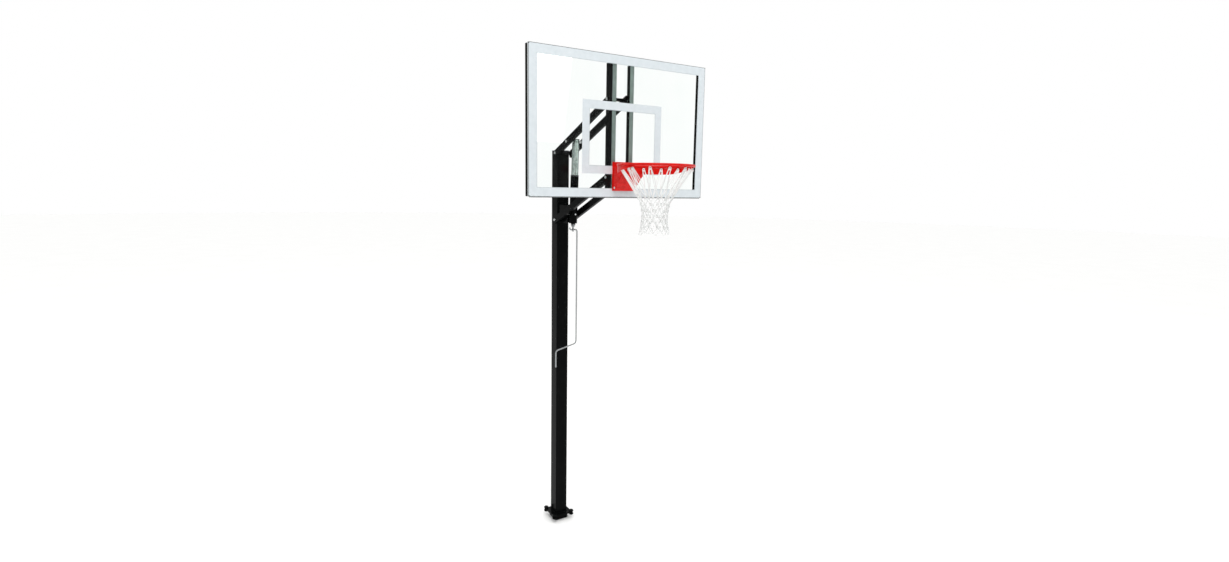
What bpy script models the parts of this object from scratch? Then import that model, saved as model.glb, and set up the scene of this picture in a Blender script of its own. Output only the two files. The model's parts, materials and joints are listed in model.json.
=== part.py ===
"""In-ground basketball hoop with a crank-driven height adjuster, one object per physical piece.

Units are metres and +Z is up. The origin is the centre of the foot's underside. +X is to the right
of a player who faces the board, so the court lies towards -Y.
"""
import math

import bmesh
import bpy
from mathutils import Matrix, Vector

# Driving dimensions.
GAP = 0.0003                # clearance between pieces that touch
STEEL = 0.003               # wall of the square and rectangular tubes

FOOT_HEIGHT = 0.046
FOOT_WIDTH = 0.112
PLATE_SIZE = 0.170
PLATE_THICKNESS = 0.012
ANCHOR_SPACING = 0.156
ANCHOR_RADIUS = 0.008
ANCHOR_HEAD = 0.020
ANCHOR_HEAD_THICKNESS = 0.014
POLE_WIDTH = 0.1016
POLE_TOP = 3.057

PIVOT_Y = -0.0625           # pole pivots, on sleeves across the pole's front face
UPPER_PIVOT_Z = 3.040
PIVOT_SPACING = 0.512       # from the upper arms down to the lower arms
ARM_LENGTH = 0.824          # pivot to pivot
ARM_ANGLE = math.radians(23.2)
ARM_WIDTH = 0.0254
ARM_HEIGHT = 0.0508
ARM_X = 0.0655              # middle of an arm
ARM_OVERHANG = 0.020        # past each pivot

BOLT_RADIUS = 0.006
BOLT_HOLE = 0.0064
HEAD_RADIUS = 0.0100
HEAD_THICKNESS = 0.0075
SLEEVE_RADIUS = 0.0112

BOARD_WIDTH = 1.3716
BOARD_HEIGHT = 0.9144
BOARD_FRONT_Y = -0.891
BOARD_BOTTOM_Z = 2.721
BOARD_CORNER = 0.006
GLASS = 0.0095
RAIL_WIDTH = 0.043
RAIL_DEPTH = 0.038
UPRIGHT_X = 0.0845          # outer face of an upright
UPRIGHT_DEPTH = 0.076
UPRIGHT_FLANGE = 0.032
UPRIGHT_STEEL = 0.004

RIM_Z = 2.924
RIM_RADIUS = 0.2365
RIM_ROD = 0.008
RIM_REACH = 0.381           # board face to the ring's centre
RIM_PLATE_WIDTH = 0.160
RIM_PLATE_BOTTOM = 2.763
RIM_PLATE_TOP = 2.953
RIM_PLATE_THICKNESS = 0.006
RIM_BOLT_X = 0.062
RIM_BOLT_RISE = 0.044       # plate's bottom up to the lower bolts
RIM_BOLT_SPACING = 0.092
RIM_HINGE_DROP = 0.141      # ring down to the breakaway hinge
RIM_HINGE_REACH = 0.020     # plate's front face to the hinge
BRACE_HEIGHT = 0.042
HOUSING_WIDTH = 0.150

LIFT_PIN_ARM = 0.198        # upper pole pivot to the actuator's top pin
ACTUATOR_TILT = math.radians(2.9)
LIFT_TUBE_RADIUS = 0.0268
ACTUATOR_RADIUS = 0.0305
ACTUATOR_MOUTH = 0.256      # along the actuator, from the top pin
ACTUATOR_END = 0.610
LIFT_TUBE_END = 0.322
TRUNNION_Y = -0.155
TRUNNION_Z = 2.567
EAR_X = 0.0345              # inner face of a bracket ear
EAR_THICKNESS = 0.005
YOKE_PIN_DROP = 0.010       # actuator's end down to the pin the crank swings on
YOKE_WIDTH = 0.018
YOKE_DEPTH = 0.020          # pin down to the yoke's underside
EYE_DROP = 0.039            # pin down to the eye's centre
EYE_RADIUS = 0.0125
EYE_ROD = 0.0050
CRANK_ROD = 0.0055
CRANK_LENGTH = 0.890
CRANK_HOOK = 0.032          # eye to the crank's shaft
CRANK_HANDLE = 0.130        # eye to the crank's handle
CRANK_DROP = 0.065
CRANK_HANDLE_LENGTH = 0.130
CRANK_TURN = math.radians(-15.0)

X_AXIS = Vector((1.0, 0.0, 0.0))
Y_AXIS = Vector((0.0, 1.0, 0.0))
Z_AXIS = Vector((0.0, 0.0, 1.0))

# Places that follow from them.
POLE_FACE_Y = -POLE_WIDTH / 2
PLATE_TOP = FOOT_HEIGHT + PLATE_THICKNESS + GAP
ARM_DIRECTION = Vector((0.0, -math.cos(ARM_ANGLE), math.sin(ARM_ANGLE)))
UPPER_PIVOT = Vector((0.0, PIVOT_Y, UPPER_PIVOT_Z))
LOWER_PIVOT = UPPER_PIVOT - PIVOT_SPACING * Z_AXIS
UPPER_FRONT = UPPER_PIVOT + ARM_LENGTH * ARM_DIRECTION
LOWER_FRONT = LOWER_PIVOT + ARM_LENGTH * ARM_DIRECTION
GLASS_BACK_Y = BOARD_FRONT_Y + GLASS
FRAME_FRONT_Y = GLASS_BACK_Y + GAP
BOARD_TOP_Z = BOARD_BOTTOM_Z + BOARD_HEIGHT
LIFT_PIN = UPPER_PIVOT + LIFT_PIN_ARM * ARM_DIRECTION
ACTUATOR_DOWN = Vector((0.0, math.sin(ACTUATOR_TILT), -math.cos(ACTUATOR_TILT)))
YOKE_PIN = LIFT_PIN + (ACTUATOR_END + YOKE_PIN_DROP) * ACTUATOR_DOWN
EYE = YOKE_PIN - EYE_DROP * Z_AXIS
RIM_CENTRE = Vector((0.0, BOARD_FRONT_Y - RIM_REACH, RIM_Z))
RIM_PLATE_FRONT_Y = BOARD_FRONT_Y - GAP - RIM_PLATE_THICKNESS
RIM_HINGE = Vector((0.0, RIM_PLATE_FRONT_Y - RIM_HINGE_REACH, RIM_Z - RIM_HINGE_DROP))
RIM_BOLT_Z = RIM_PLATE_BOTTOM + RIM_BOLT_RISE


def clear_scene():
    for obj in list(bpy.data.objects):
        bpy.data.objects.remove(obj, do_unlink=True)


def make_collection(name):
    collection = bpy.data.collections.new(name)
    bpy.context.scene.collection.children.link(collection)
    return collection


def make_material(name, colour, roughness, metallic=0.0, alpha=1.0):
    material = bpy.data.materials.new(name)
    material.use_nodes = True
    shader = material.node_tree.nodes["Principled BSDF"]
    shader.inputs["Base Color"].default_value = (*colour, 1.0)
    shader.inputs["Roughness"].default_value = roughness
    shader.inputs["Metallic"].default_value = metallic
    shader.inputs["Alpha"].default_value = alpha
    material.diffuse_color = (*colour, alpha)
    return material


def make_joint(name, place):
    """An empty on a joint's axis, for the pieces that move with it."""
    empty = bpy.data.objects.new(name + "_axis", None)
    empty.location = place
    parts.objects.link(empty)
    return empty


def place_part(obj, name, material, joint=None):
    """Name an object, give it its material and hang it on its joint without moving it."""
    obj.name = name
    for collection in list(obj.users_collection):
        collection.objects.unlink(obj)
    parts.objects.link(obj)
    obj.data.materials.clear()
    obj.data.materials.append(material)
    if joint:
        obj.parent = joint
        obj.matrix_parent_inverse = Matrix.Translation(-joint.location)
    return obj


def turn_to(direction):
    """Rotation that takes +Z to the direction."""
    return Z_AXIS.rotation_difference(Vector(direction)).to_euler()


def add_box(size, centre, bevel=0.0, rotation=(0.0, 0.0, 0.0)):
    bpy.ops.mesh.primitive_cube_add(size=1.0, location=centre, rotation=rotation)
    obj = bpy.context.object
    obj.scale = size
    bpy.ops.object.transform_apply(location=False, rotation=False, scale=True)
    if bevel:
        edge = obj.modifiers.new("Rounded edges", "BEVEL")
        edge.width = bevel
        edge.segments = 2
    return obj


def add_cylinder(radius, depth, centre, axis=Z_AXIS, vertices=24):
    bpy.ops.mesh.primitive_cylinder_add(vertices=vertices, radius=radius, depth=depth,
                                        location=centre, rotation=turn_to(axis))
    obj = bpy.context.object
    shade_round(obj)
    return obj


def shade_round(obj):
    """Smooth the sides of a round piece and keep its ends flat."""
    for face in obj.data.polygons:
        face.use_smooth = len(face.vertices) <= 4


def cut(obj, cutter, operation="DIFFERENCE"):
    """Cut a piece with another, which moves to the cutters' collection."""
    for collection in list(cutter.users_collection):
        collection.objects.unlink(cutter)
    cutters.objects.link(cutter)
    cutter.hide_render = True
    cutter.display_type = "WIRE"
    boolean = obj.modifiers.new("Cut", "BOOLEAN")
    boolean.operation = operation
    boolean.solver = "EXACT"
    boolean.object = cutter


def drill(obj, centre, axis, radius=BOLT_HOLE, depth=0.4, vertices=16):
    cut(obj, add_cylinder(radius, depth, centre, axis, vertices))


def curve_to_mesh(obj):
    """Replace a curve object with a welded mesh object in the same place."""
    graph = bpy.context.evaluated_depsgraph_get()
    mesh = bpy.data.meshes.new_from_object(obj.evaluated_get(graph))
    form = bmesh.new()
    form.from_mesh(mesh)
    bmesh.ops.remove_doubles(form, verts=form.verts, dist=0.00001)
    form.to_mesh(mesh)
    form.free()
    solid = bpy.data.objects.new(obj.name, mesh)
    solid.matrix_world = obj.matrix_world
    bpy.context.scene.collection.objects.link(solid)
    bpy.data.objects.remove(obj, do_unlink=True)
    return solid


def rounded_rectangle(width, height, radius, corner_steps=3):
    """Corner points of a rectangle with rounded corners, counterclockwise."""
    points = []
    for corner in range(4):
        side_x = 1 if corner in (0, 3) else -1
        side_y = 1 if corner in (0, 1) else -1
        middle_x = side_x * (width / 2 - radius)
        middle_y = side_y * (height / 2 - radius)
        for step in range(corner_steps + 1):
            angle = math.pi / 2 * (corner + step / corner_steps)
            points.append((middle_x + radius * math.cos(angle), middle_y + radius * math.sin(angle)))
    return points


def add_outline(loops, thickness, centre, axis=Z_AXIS, rotation=None):
    """A flat outline, with holes where loops lie inside it, extruded along its normal."""
    curve = bpy.data.curves.new("outline", "CURVE")
    curve.dimensions = "2D"
    curve.fill_mode = "BOTH"
    curve.extrude = thickness / 2
    for loop in loops:
        spline = curve.splines.new("POLY")
        spline.points.add(len(loop) - 1)
        for point, (x, y) in zip(spline.points, loop):
            point.co = (x, y, 0.0, 1.0)
        spline.use_cyclic_u = True
    obj = bpy.data.objects.new("outline", curve)
    obj.location = centre
    obj.rotation_euler = rotation if rotation is not None else turn_to(axis)
    bpy.context.scene.collection.objects.link(obj)
    bpy.context.view_layer.update()
    return curve_to_mesh(obj)


def add_tube(width, height, wall, length, centre, rotation, corner=0.004):
    """A square or rectangular tube along its local Z."""
    outer = rounded_rectangle(width, height, corner)
    inner = rounded_rectangle(width - 2 * wall, height - 2 * wall, max(corner - wall, 0.001), 1)
    return add_outline([outer, inner], length, centre, rotation=rotation)


def add_rod(points, radius, cyclic=False, resolution=2):
    """A round rod along a run of points."""
    curve = bpy.data.curves.new("rod", "CURVE")
    curve.dimensions = "3D"
    curve.bevel_depth = radius
    curve.bevel_resolution = resolution
    curve.use_fill_caps = True
    spline = curve.splines.new("POLY")
    spline.points.add(len(points) - 1)
    for point, place in zip(spline.points, points):
        point.co = (*place, 1.0)
    spline.use_cyclic_u = cyclic
    spline.use_smooth = True
    obj = bpy.data.objects.new("rod", curve)
    bpy.context.scene.collection.objects.link(obj)
    bpy.context.view_layer.update()
    return obj


def add_turned(profile, centre, axis=Z_AXIS, steps=24):
    """A solid of revolution from (radius, height) points that run down the outer side."""
    mesh = bpy.data.meshes.new("turned")
    form = bmesh.new()
    corners = [form.verts.new((radius, 0.0, height)) for radius, height in profile]
    for start, end in zip(corners, corners[1:] + corners[:1]):
        form.edges.new((start, end))
    form.to_mesh(mesh)
    form.free()
    obj = bpy.data.objects.new("turned", mesh)
    bpy.context.scene.collection.objects.link(obj)
    obj.location = centre
    obj.rotation_euler = turn_to(axis)
    screw = obj.modifiers.new("Turn", "SCREW")
    screw.axis = "Z"
    screw.steps = steps
    screw.render_steps = steps
    screw.use_merge_vertices = True
    screw.merge_threshold = 0.0001
    screw.use_smooth_shade = False
    bpy.context.view_layer.update()
    return obj


def add_ring_sleeve(outer, inner, length, centre, axis, steps=24):
    """A plain bush: a ring with a square section."""
    half = length / 2
    profile = [(inner, half), (outer, half), (outer, -half), (inner, -half)]
    return add_turned(profile, centre, axis, steps)


def add_bolt(start, end, shank=BOLT_RADIUS, head=HEAD_RADIUS, thickness=HEAD_THICKNESS, nut=True):
    """A hex bolt whose head bears on start, with its nut, if it has one, bearing on end."""
    start = Vector(start)
    end = Vector(end)
    axis = (end - start).normalized()
    length = (end - start).length
    tail = thickness + 0.003 if nut else 0.0
    bolt = add_cylinder(shank, length + tail + thickness / 2,
                        start + axis * (length + tail - thickness / 2) / 2, axis, 12)
    cut(bolt, add_cylinder(head, thickness, start - axis * thickness / 2, axis, 6), "UNION")
    if nut:
        cut(bolt, add_cylinder(head, thickness, end + axis * thickness / 2, axis, 6), "UNION")
    return bolt


def build_foot():
    """The anchor stub with its closed flat bottom, the base plate and the anchor bolts."""
    stub = add_box((FOOT_WIDTH, FOOT_WIDTH, FOOT_HEIGHT), (0.0, 0.0, FOOT_HEIGHT / 2), 0.003)
    place_part(stub, "foot_stub", black)
    outline = rounded_rectangle(PLATE_SIZE, PLATE_SIZE, 0.012)
    plate_z = FOOT_HEIGHT + GAP + PLATE_THICKNESS / 2
    plate = add_outline([outline], PLATE_THICKNESS, (0.0, 0.0, plate_z))
    half = ANCHOR_SPACING / 2
    for number, (side_x, side_y) in enumerate(((-1, -1), (1, -1), (1, 1), (-1, 1)), 1):
        top = Vector((side_x * half, side_y * half, PLATE_TOP + GAP))
        bottom = Vector((top.x, top.y, FOOT_HEIGHT))
        drill(plate, top, Z_AXIS, ANCHOR_RADIUS + 0.0005, 0.1)
        bolt = add_bolt(top, bottom, ANCHOR_RADIUS, ANCHOR_HEAD, ANCHOR_HEAD_THICKNESS)
        place_part(bolt, "anchor_bolt_" + str(number), black)
    place_part(plate, "base_plate", black)


def build_pole():
    """The square pole, its cap and the two pivot sleeves across its front face."""
    length = POLE_TOP - PLATE_TOP - GAP
    centre = (0.0, 0.0, PLATE_TOP + GAP + length / 2)
    pole = add_tube(POLE_WIDTH, POLE_WIDTH, STEEL, length, centre, (0.0, 0.0, 0.0), 0.008)
    place_part(pole, "pole_tube", black)
    cap = add_box((POLE_WIDTH, POLE_WIDTH, 0.006), (0.0, 0.0, POLE_TOP + GAP + 0.003), 0.0025)
    place_part(cap, "pole_cap", plastic)
    half = ARM_X - ARM_WIDTH / 2 - GAP
    for name, pivot in (("upper", UPPER_PIVOT), ("lower", LOWER_PIVOT)):
        sleeve = add_ring_sleeve(SLEEVE_RADIUS, BOLT_HOLE, 2 * half - 0.002, pivot, X_AXIS)
        place_part(sleeve, name + "_pivot_sleeve", black)
        reach = (ARM_X + ARM_WIDTH / 2 + 0.001) * X_AXIS
        place_part(add_bolt(pivot - reach, pivot + reach), name + "_pivot_bolt", zinc)


def build_bracket():
    """Two ears on the pole's front face, notched round the pivot sleeve, and the trunnion bolt."""
    front = -0.196
    depth = POLE_FACE_Y - GAP - front
    middle_y = front + depth / 2
    for name, side in (("left", -1), ("right", 1)):
        outline = [(-depth / 2, 0.055), (-depth / 2, -0.050), (-depth / 2 + 0.012, -0.062),
                   (depth / 2, -0.062), (depth / 2, 0.078), (-depth / 2 + 0.035, 0.078)]
        centre = (side * (EAR_X + EAR_THICKNESS / 2), middle_y, TRUNNION_Z)
        ear = add_outline([outline], EAR_THICKNESS, centre,
                          rotation=(math.pi / 2, 0.0, math.pi / 2))
        drill(ear, (centre[0], TRUNNION_Y, TRUNNION_Z), X_AXIS, BOLT_HOLE, 0.03)
        drill(ear, LOWER_PIVOT + centre[0] * X_AXIS, X_AXIS, SLEEVE_RADIUS + 0.0015, 0.03)
        place_part(ear, "actuator_ear_" + name, black)
    reach = EAR_X + EAR_THICKNESS + GAP
    bolt = add_bolt((-reach, TRUNNION_Y, TRUNNION_Z), (reach, TRUNNION_Y, TRUNNION_Z), thickness=0.006)
    place_part(bolt, "trunnion_bolt", zinc)


def add_arm(pivot, side, holes):
    """A rectangular tube from a pole pivot to a board pivot, drilled across at each distance."""
    length = ARM_LENGTH + 2 * ARM_OVERHANG
    centre = pivot + ARM_DIRECTION * ARM_LENGTH / 2 + side * ARM_X * X_AXIS
    arm = add_tube(ARM_WIDTH, ARM_HEIGHT, 0.0025, length, centre,
                   (math.pi / 2 - ARM_ANGLE, 0.0, 0.0), 0.0035)
    for distance in holes:
        drill(arm, pivot + distance * ARM_DIRECTION + side * ARM_X * X_AXIS, X_AXIS, depth=0.06)
    return arm


def build_arms():
    """The four arms of the parallelogram, and the bolt that the actuator lifts them by."""
    upper = make_joint("upper_arms", UPPER_PIVOT)
    lower = make_joint("lower_arms", LOWER_PIVOT)
    for name, side in (("left", -1), ("right", 1)):
        arm = add_arm(UPPER_PIVOT, side, (0.0, LIFT_PIN_ARM, ARM_LENGTH))
        place_part(arm, "upper_arm_" + name, black, upper)
        arm = add_arm(LOWER_PIVOT, side, (0.0, ARM_LENGTH))
        place_part(arm, "lower_arm_" + name, black, lower)
        inner = LIFT_TUBE_RADIUS + 0.001
        outer = ARM_X - ARM_WIDTH / 2 - GAP
        spacer = add_ring_sleeve(0.0095, BOLT_HOLE, outer - inner,
                                 LIFT_PIN + side * (inner + outer) / 2 * X_AXIS, X_AXIS, 16)
        place_part(spacer, "lift_bolt_spacer_" + name, zinc, upper)
    reach = (ARM_X + ARM_WIDTH / 2 + GAP) * X_AXIS
    place_part(add_bolt(LIFT_PIN - reach, LIFT_PIN + reach), "lift_bolt", zinc, upper)


def build_backboard():
    """The glass, its mitred frame, the two uprights and the bolts that the arms hold it by."""
    board = make_joint("backboard", UPPER_FRONT)
    middle_z = BOARD_BOTTOM_Z + BOARD_HEIGHT / 2
    outline = rounded_rectangle(BOARD_WIDTH, BOARD_HEIGHT, BOARD_CORNER)
    glass = add_outline([outline], GLASS, (0.0, BOARD_FRONT_Y + GLASS / 2, middle_z),
                        rotation=(math.pi / 2, 0.0, 0.0))
    for side in (-1, 1):
        for level in (0.0, RIM_BOLT_SPACING):
            drill(glass, (side * RIM_BOLT_X, BOARD_FRONT_Y, RIM_BOLT_Z + level), Y_AXIS, depth=0.05)
    place_part(glass, "glass_panel", clear_glass, board)

    rail_y = FRAME_FRONT_Y + RAIL_DEPTH / 2
    half_rail = RAIL_WIDTH / 2
    rails = (("bottom", BOARD_WIDTH, (0.0, rail_y, BOARD_BOTTOM_Z + half_rail), 0.0),
             ("right", BOARD_HEIGHT, (BOARD_WIDTH / 2 - half_rail, rail_y, middle_z), -math.pi / 2),
             ("top", BOARD_WIDTH, (0.0, rail_y, BOARD_TOP_Z - half_rail), math.pi),
             ("left", BOARD_HEIGHT, (-BOARD_WIDTH / 2 + half_rail, rail_y, middle_z), math.pi / 2))
    for name, length, centre, turn in rails:
        rail = add_tube(RAIL_WIDTH, RAIL_DEPTH, 0.002, length, centre, (0.0, 0.0, 0.0), 0.003)
        for vertex in rail.data.vertices:
            end = 1 if vertex.co.z > 0 else -1
            vertex.co.z -= end * (vertex.co.x + half_rail + GAP)
        rail.matrix_world = (Matrix.Translation(centre) @ Matrix.Rotation(turn, 4, "Y")
                             @ Matrix.Rotation(-math.pi / 2, 4, "Y"))
        cut(rail, add_outline([outline], 2 * RAIL_DEPTH, (0.0, rail_y, middle_z),
                              rotation=(math.pi / 2, 0.0, 0.0)), "INTERSECT")
        place_part(rail, "frame_" + name, black, board)

    build_uprights(board, middle_z)
    half = ARM_X - ARM_WIDTH / 2 - 0.001
    for name, pivot in (("upper", UPPER_FRONT), ("lower", LOWER_FRONT)):
        sleeve = add_ring_sleeve(SLEEVE_RADIUS, BOLT_HOLE, 2 * half, pivot, X_AXIS)
        place_part(sleeve, name + "_board_spacer", black, board)
        reach = (UPRIGHT_X + GAP) * X_AXIS
        place_part(add_bolt(pivot - reach, pivot + reach), name + "_board_bolt", zinc, board)
    return board


def build_uprights(board, middle_z):
    """Angle uprights behind the glass: a flange against it and a leg that the arms bolt to."""
    length = BOARD_HEIGHT - 2 * RAIL_WIDTH - 2 * GAP
    for name, side in (("left", -1), ("right", 1)):
        outer = side * UPRIGHT_X
        inner = side * (UPRIGHT_X - UPRIGHT_STEEL)
        flange = side * (UPRIGHT_X - UPRIGHT_FLANGE)
        front = FRAME_FRONT_Y
        section = [(outer, front), (outer, front + UPRIGHT_DEPTH), (inner, front + UPRIGHT_DEPTH),
                   (inner, front + UPRIGHT_STEEL), (flange, front + UPRIGHT_STEEL), (flange, front)]
        upright = add_outline([section], length, (0.0, 0.0, middle_z))
        for pivot in (UPPER_FRONT, LOWER_FRONT):
            drill(upright, pivot + outer * X_AXIS, X_AXIS, depth=0.03)
        for level in (0.0, RIM_BOLT_SPACING):
            drill(upright, (side * RIM_BOLT_X, front, RIM_BOLT_Z + level), Y_AXIS, depth=0.03)
        place_part(upright, "upright_" + name, black, board)


def build_rim_plate(board):
    """The plate that bolts through the glass, its two hinge lugs, pin and breakaway spring."""
    height = RIM_PLATE_TOP - RIM_PLATE_BOTTOM
    middle_z = RIM_PLATE_BOTTOM + height / 2
    centre_y = RIM_PLATE_FRONT_Y + RIM_PLATE_THICKNESS / 2
    plate = add_box((RIM_PLATE_WIDTH, RIM_PLATE_THICKNESS, height), (0.0, centre_y, middle_z), 0.001)
    bolts = []
    for side in (-1, 1):
        for level in (0.0, RIM_BOLT_SPACING):
            place = Vector((side * RIM_BOLT_X, RIM_PLATE_FRONT_Y - GAP, RIM_BOLT_Z + level))
            drill(plate, place, Y_AXIS, depth=0.05)
            back = Vector((place.x, FRAME_FRONT_Y + UPRIGHT_STEEL + GAP, place.z))
            bolts.append(add_bolt(place, back, shank=0.005, head=0.008, thickness=0.006))
    lug_half = HOUSING_WIDTH / 2 - 0.0085
    lug_radius = 0.0105
    root_y = centre_y - RIM_HINGE.y
    for side in (-1, 1):
        outline = [(root_y, -lug_radius), (root_y, lug_radius)]
        for step in range(9):
            angle = math.pi / 2 + math.pi * step / 8
            outline.append((lug_radius * math.cos(angle), lug_radius * math.sin(angle)))
        lug = add_outline([outline], 0.007, RIM_HINGE + side * lug_half * X_AXIS,
                          rotation=(math.pi / 2, 0.0, math.pi / 2))
        cut(plate, lug, "UNION")
    drill(plate, RIM_HINGE, X_AXIS, 0.0054, 0.2)
    place_part(plate, "rim_plate", red, board)
    for number, bolt in enumerate(bolts, 1):
        place_part(bolt, "rim_bolt_" + str(number), zinc, board)

    reach = (HOUSING_WIDTH / 2 + 0.0005) * X_AXIS
    pin = add_bolt(RIM_HINGE - reach, RIM_HINGE + reach, shank=0.005, head=0.008, thickness=0.004)
    place_part(pin, "rim_hinge_pin", zinc, board)
    coil = []
    turns = 9
    per_turn = 12
    coil_length = 0.090
    for step in range(turns * per_turn + 1):
        angle = 2 * math.pi * step / per_turn
        across = (step / (turns * per_turn) - 0.5) * coil_length
        coil.append(RIM_HINGE + Vector((across, 0.0085 * math.cos(angle), 0.0085 * math.sin(angle))))
    place_part(add_rod(coil, 0.002, resolution=1), "breakaway_spring", zinc, board)


def build_rim():
    """The ring, the strap that braces it, the wedge housing and the net."""
    rim = make_joint("rim", RIM_HINGE)
    steps = 48
    ring = []
    for step in range(steps):
        angle = 2 * math.pi * step / steps
        ring.append(RIM_CENTRE + RIM_RADIUS * Vector((math.sin(angle), math.cos(angle), 0.0)))
    place_part(add_rod(ring, RIM_ROD, cyclic=True), "rim_ring", red, rim)
    build_brace(rim)
    build_rim_housing(rim)
    build_net(rim)


def build_brace(rim):
    """A strap on edge under the back of the ring, deep at the housing and thin at its ends."""
    sweep = math.radians(112)
    full_depth = math.radians(60)
    steps = 28
    half_thickness = 0.0025
    end_height = 0.004
    outer = []
    inner = []
    for step in range(steps + 1):
        angle = sweep * (2 * step / steps - 1)
        for arc, radius in ((outer, RIM_RADIUS + half_thickness), (inner, RIM_RADIUS - half_thickness)):
            arc.append((radius * math.sin(angle), radius * math.cos(angle)))
    middle_z = RIM_Z - RIM_ROD - GAP - end_height / 2
    strap = add_outline([outer + inner[::-1]], end_height, (RIM_CENTRE.x, RIM_CENTRE.y, middle_z))
    for vertex in strap.data.vertices:
        if vertex.co.z < 0:
            angle = abs(math.atan2(vertex.co.x, vertex.co.y))
            share = max(angle - full_depth, 0.0) / (sweep - full_depth)
            vertex.co.z -= (BRACE_HEIGHT - end_height) * (1 - min(share, 1.0))
    place_part(strap, "rim_brace", red, rim)


def build_rim_housing(rim):
    """A bent-steel wedge from the plate to the ring, open at the back and where the strap closes it."""
    wall = 0.004
    back = RIM_PLATE_FRONT_Y - 0.0015
    slope_end = RIM_CENTRE.y + RIM_RADIUS
    front = slope_end - 0.030
    top = RIM_Z - RIM_ROD - 0.0005
    front_low = top - BRACE_HEIGHT
    low = RIM_PLATE_BOTTOM + 0.001
    heel = back - 0.012
    toe = back - 0.022
    wedge = [(back, top), (back, RIM_HINGE.z - 0.002), (heel, low), (toe, low),
             (slope_end, front_low), (front, front_low), (front, top)]
    rotation = (math.pi / 2, 0.0, math.pi / 2)
    housing = add_outline([wedge], HOUSING_WIDTH, (0.0, 0.0, 0.0), rotation=rotation)
    hollow_shape = [(back + 0.02, top - wall), (back + 0.02, low - 0.02), (heel + 0.002, low - 0.02),
                    (heel + 0.002, low + wall), (toe, low + wall), (slope_end, front_low + wall),
                    (front - 0.02, front_low + wall), (front - 0.02, top - wall)]
    hollow = add_outline([hollow_shape], HOUSING_WIDTH - 2 * wall, (0.0, 0.0, 0.0), rotation=rotation)
    cut(housing, hollow)
    ring_room = add_cylinder(RIM_RADIUS + 0.0035, 0.3, (RIM_CENTRE.x, RIM_CENTRE.y, RIM_Z - 0.1), Z_AXIS, 96)
    cut(housing, ring_room)
    drill(housing, RIM_HINGE, X_AXIS, 0.0054, 0.2)
    place_part(housing, "rim_housing", red, rim)


def build_net(rim):
    """The net as one open shell, narrow at its waist."""
    top = RIM_Z - RIM_ROD - 0.030
    waist = [(0.203, 0.0), (0.160, -0.075), (0.112, -0.160), (0.088, -0.215), (0.081, -0.290),
             (0.085, -0.340), (0.098, -0.388)]
    thickness = 0.004
    profile = waist + [(radius - thickness, height) for radius, height in reversed(waist)]
    centre = (RIM_CENTRE.x, RIM_CENTRE.y, top)
    place_part(add_turned(profile, centre, steps=32), "net", cotton, rim)


def build_actuator():
    """The lift tube on the arms' bolt, the housing it slides in and the screw that drives it."""
    tube = make_joint("actuator_tube", LIFT_PIN)
    housing = make_joint("actuator_housing", LIFT_PIN + ACTUATOR_MOUTH * ACTUATOR_DOWN)
    screw = make_joint("lead_screw", LIFT_PIN + ACTUATOR_END * ACTUATOR_DOWN)
    head = 0.016
    axis = -ACTUATOR_DOWN

    length = LIFT_TUBE_END + head
    middle = LIFT_PIN + (LIFT_TUBE_END - head) / 2 * ACTUATOR_DOWN
    chrome = add_ring_sleeve(LIFT_TUBE_RADIUS, LIFT_TUBE_RADIUS - 0.002, length, middle, axis, 32)
    drill(chrome, LIFT_PIN, X_AXIS, depth=0.06)
    place_part(chrome, "lift_tube", pale_paint, tube)
    cap = add_cylinder(LIFT_TUBE_RADIUS, 0.004, LIFT_PIN - (head + GAP + 0.002) * ACTUATOR_DOWN, axis, 32)
    place_part(cap, "lift_tube_cap", plastic, tube)
    nut = add_ring_sleeve(LIFT_TUBE_RADIUS - 0.002 - GAP, 0.0086, 0.030,
                          LIFT_PIN + (LIFT_TUBE_END - 0.020) * ACTUATOR_DOWN, axis, 24)
    place_part(nut, "lift_nut", brass, tube)

    length = ACTUATOR_END - ACTUATOR_MOUTH
    middle = LIFT_PIN + (ACTUATOR_END + ACTUATOR_MOUTH) / 2 * ACTUATOR_DOWN
    shell = add_ring_sleeve(ACTUATOR_RADIUS, ACTUATOR_RADIUS - 0.002, length, middle, axis, 32)
    bearing = LIFT_PIN + 0.540 * ACTUATOR_DOWN
    drill(shell, bearing, Vector((0.0, ACTUATOR_DOWN.z, -ACTUATOR_DOWN.y)), 0.0035, 0.08)
    place_part(shell, "actuator_housing", black, housing)
    bush = add_ring_sleeve(ACTUATOR_RADIUS, LIFT_TUBE_RADIUS + GAP, 0.010,
                           LIFT_PIN + (ACTUATOR_MOUTH - GAP - 0.005) * ACTUATOR_DOWN, axis, 32)
    place_part(bush, "housing_bush", plastic, housing)
    block = add_ring_sleeve(ACTUATOR_RADIUS - 0.002 - GAP, 0.0086, 0.024, bearing, axis, 24)
    outward = Vector((0.0, -ACTUATOR_DOWN.z, ACTUATOR_DOWN.y)).normalized() * -1
    drill(block, bearing + (ACTUATOR_RADIUS - 0.0063) * outward, outward, 0.0034, 0.012)
    place_part(block, "screw_bearing", brass, housing)
    face = bearing + (ACTUATOR_RADIUS + GAP) * outward
    screw_bolt = add_bolt(face, face - 0.0105 * outward, shank=0.003, head=0.0065,
                          thickness=0.0045, nut=False)
    place_part(screw_bolt, "bearing_screw", zinc, housing)
    build_fork(housing)
    build_lug(housing)

    top = 0.178
    end = ACTUATOR_END - 0.022
    rod = add_cylinder(0.0080, end - top, LIFT_PIN + (end + top) / 2 * ACTUATOR_DOWN, axis, 20)
    collar = add_cylinder(0.0140, 0.008, bearing - 0.0170 * ACTUATOR_DOWN, axis, 20)
    cut(rod, collar, "UNION")
    place_part(rod, "lead_screw", steel, screw)


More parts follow.
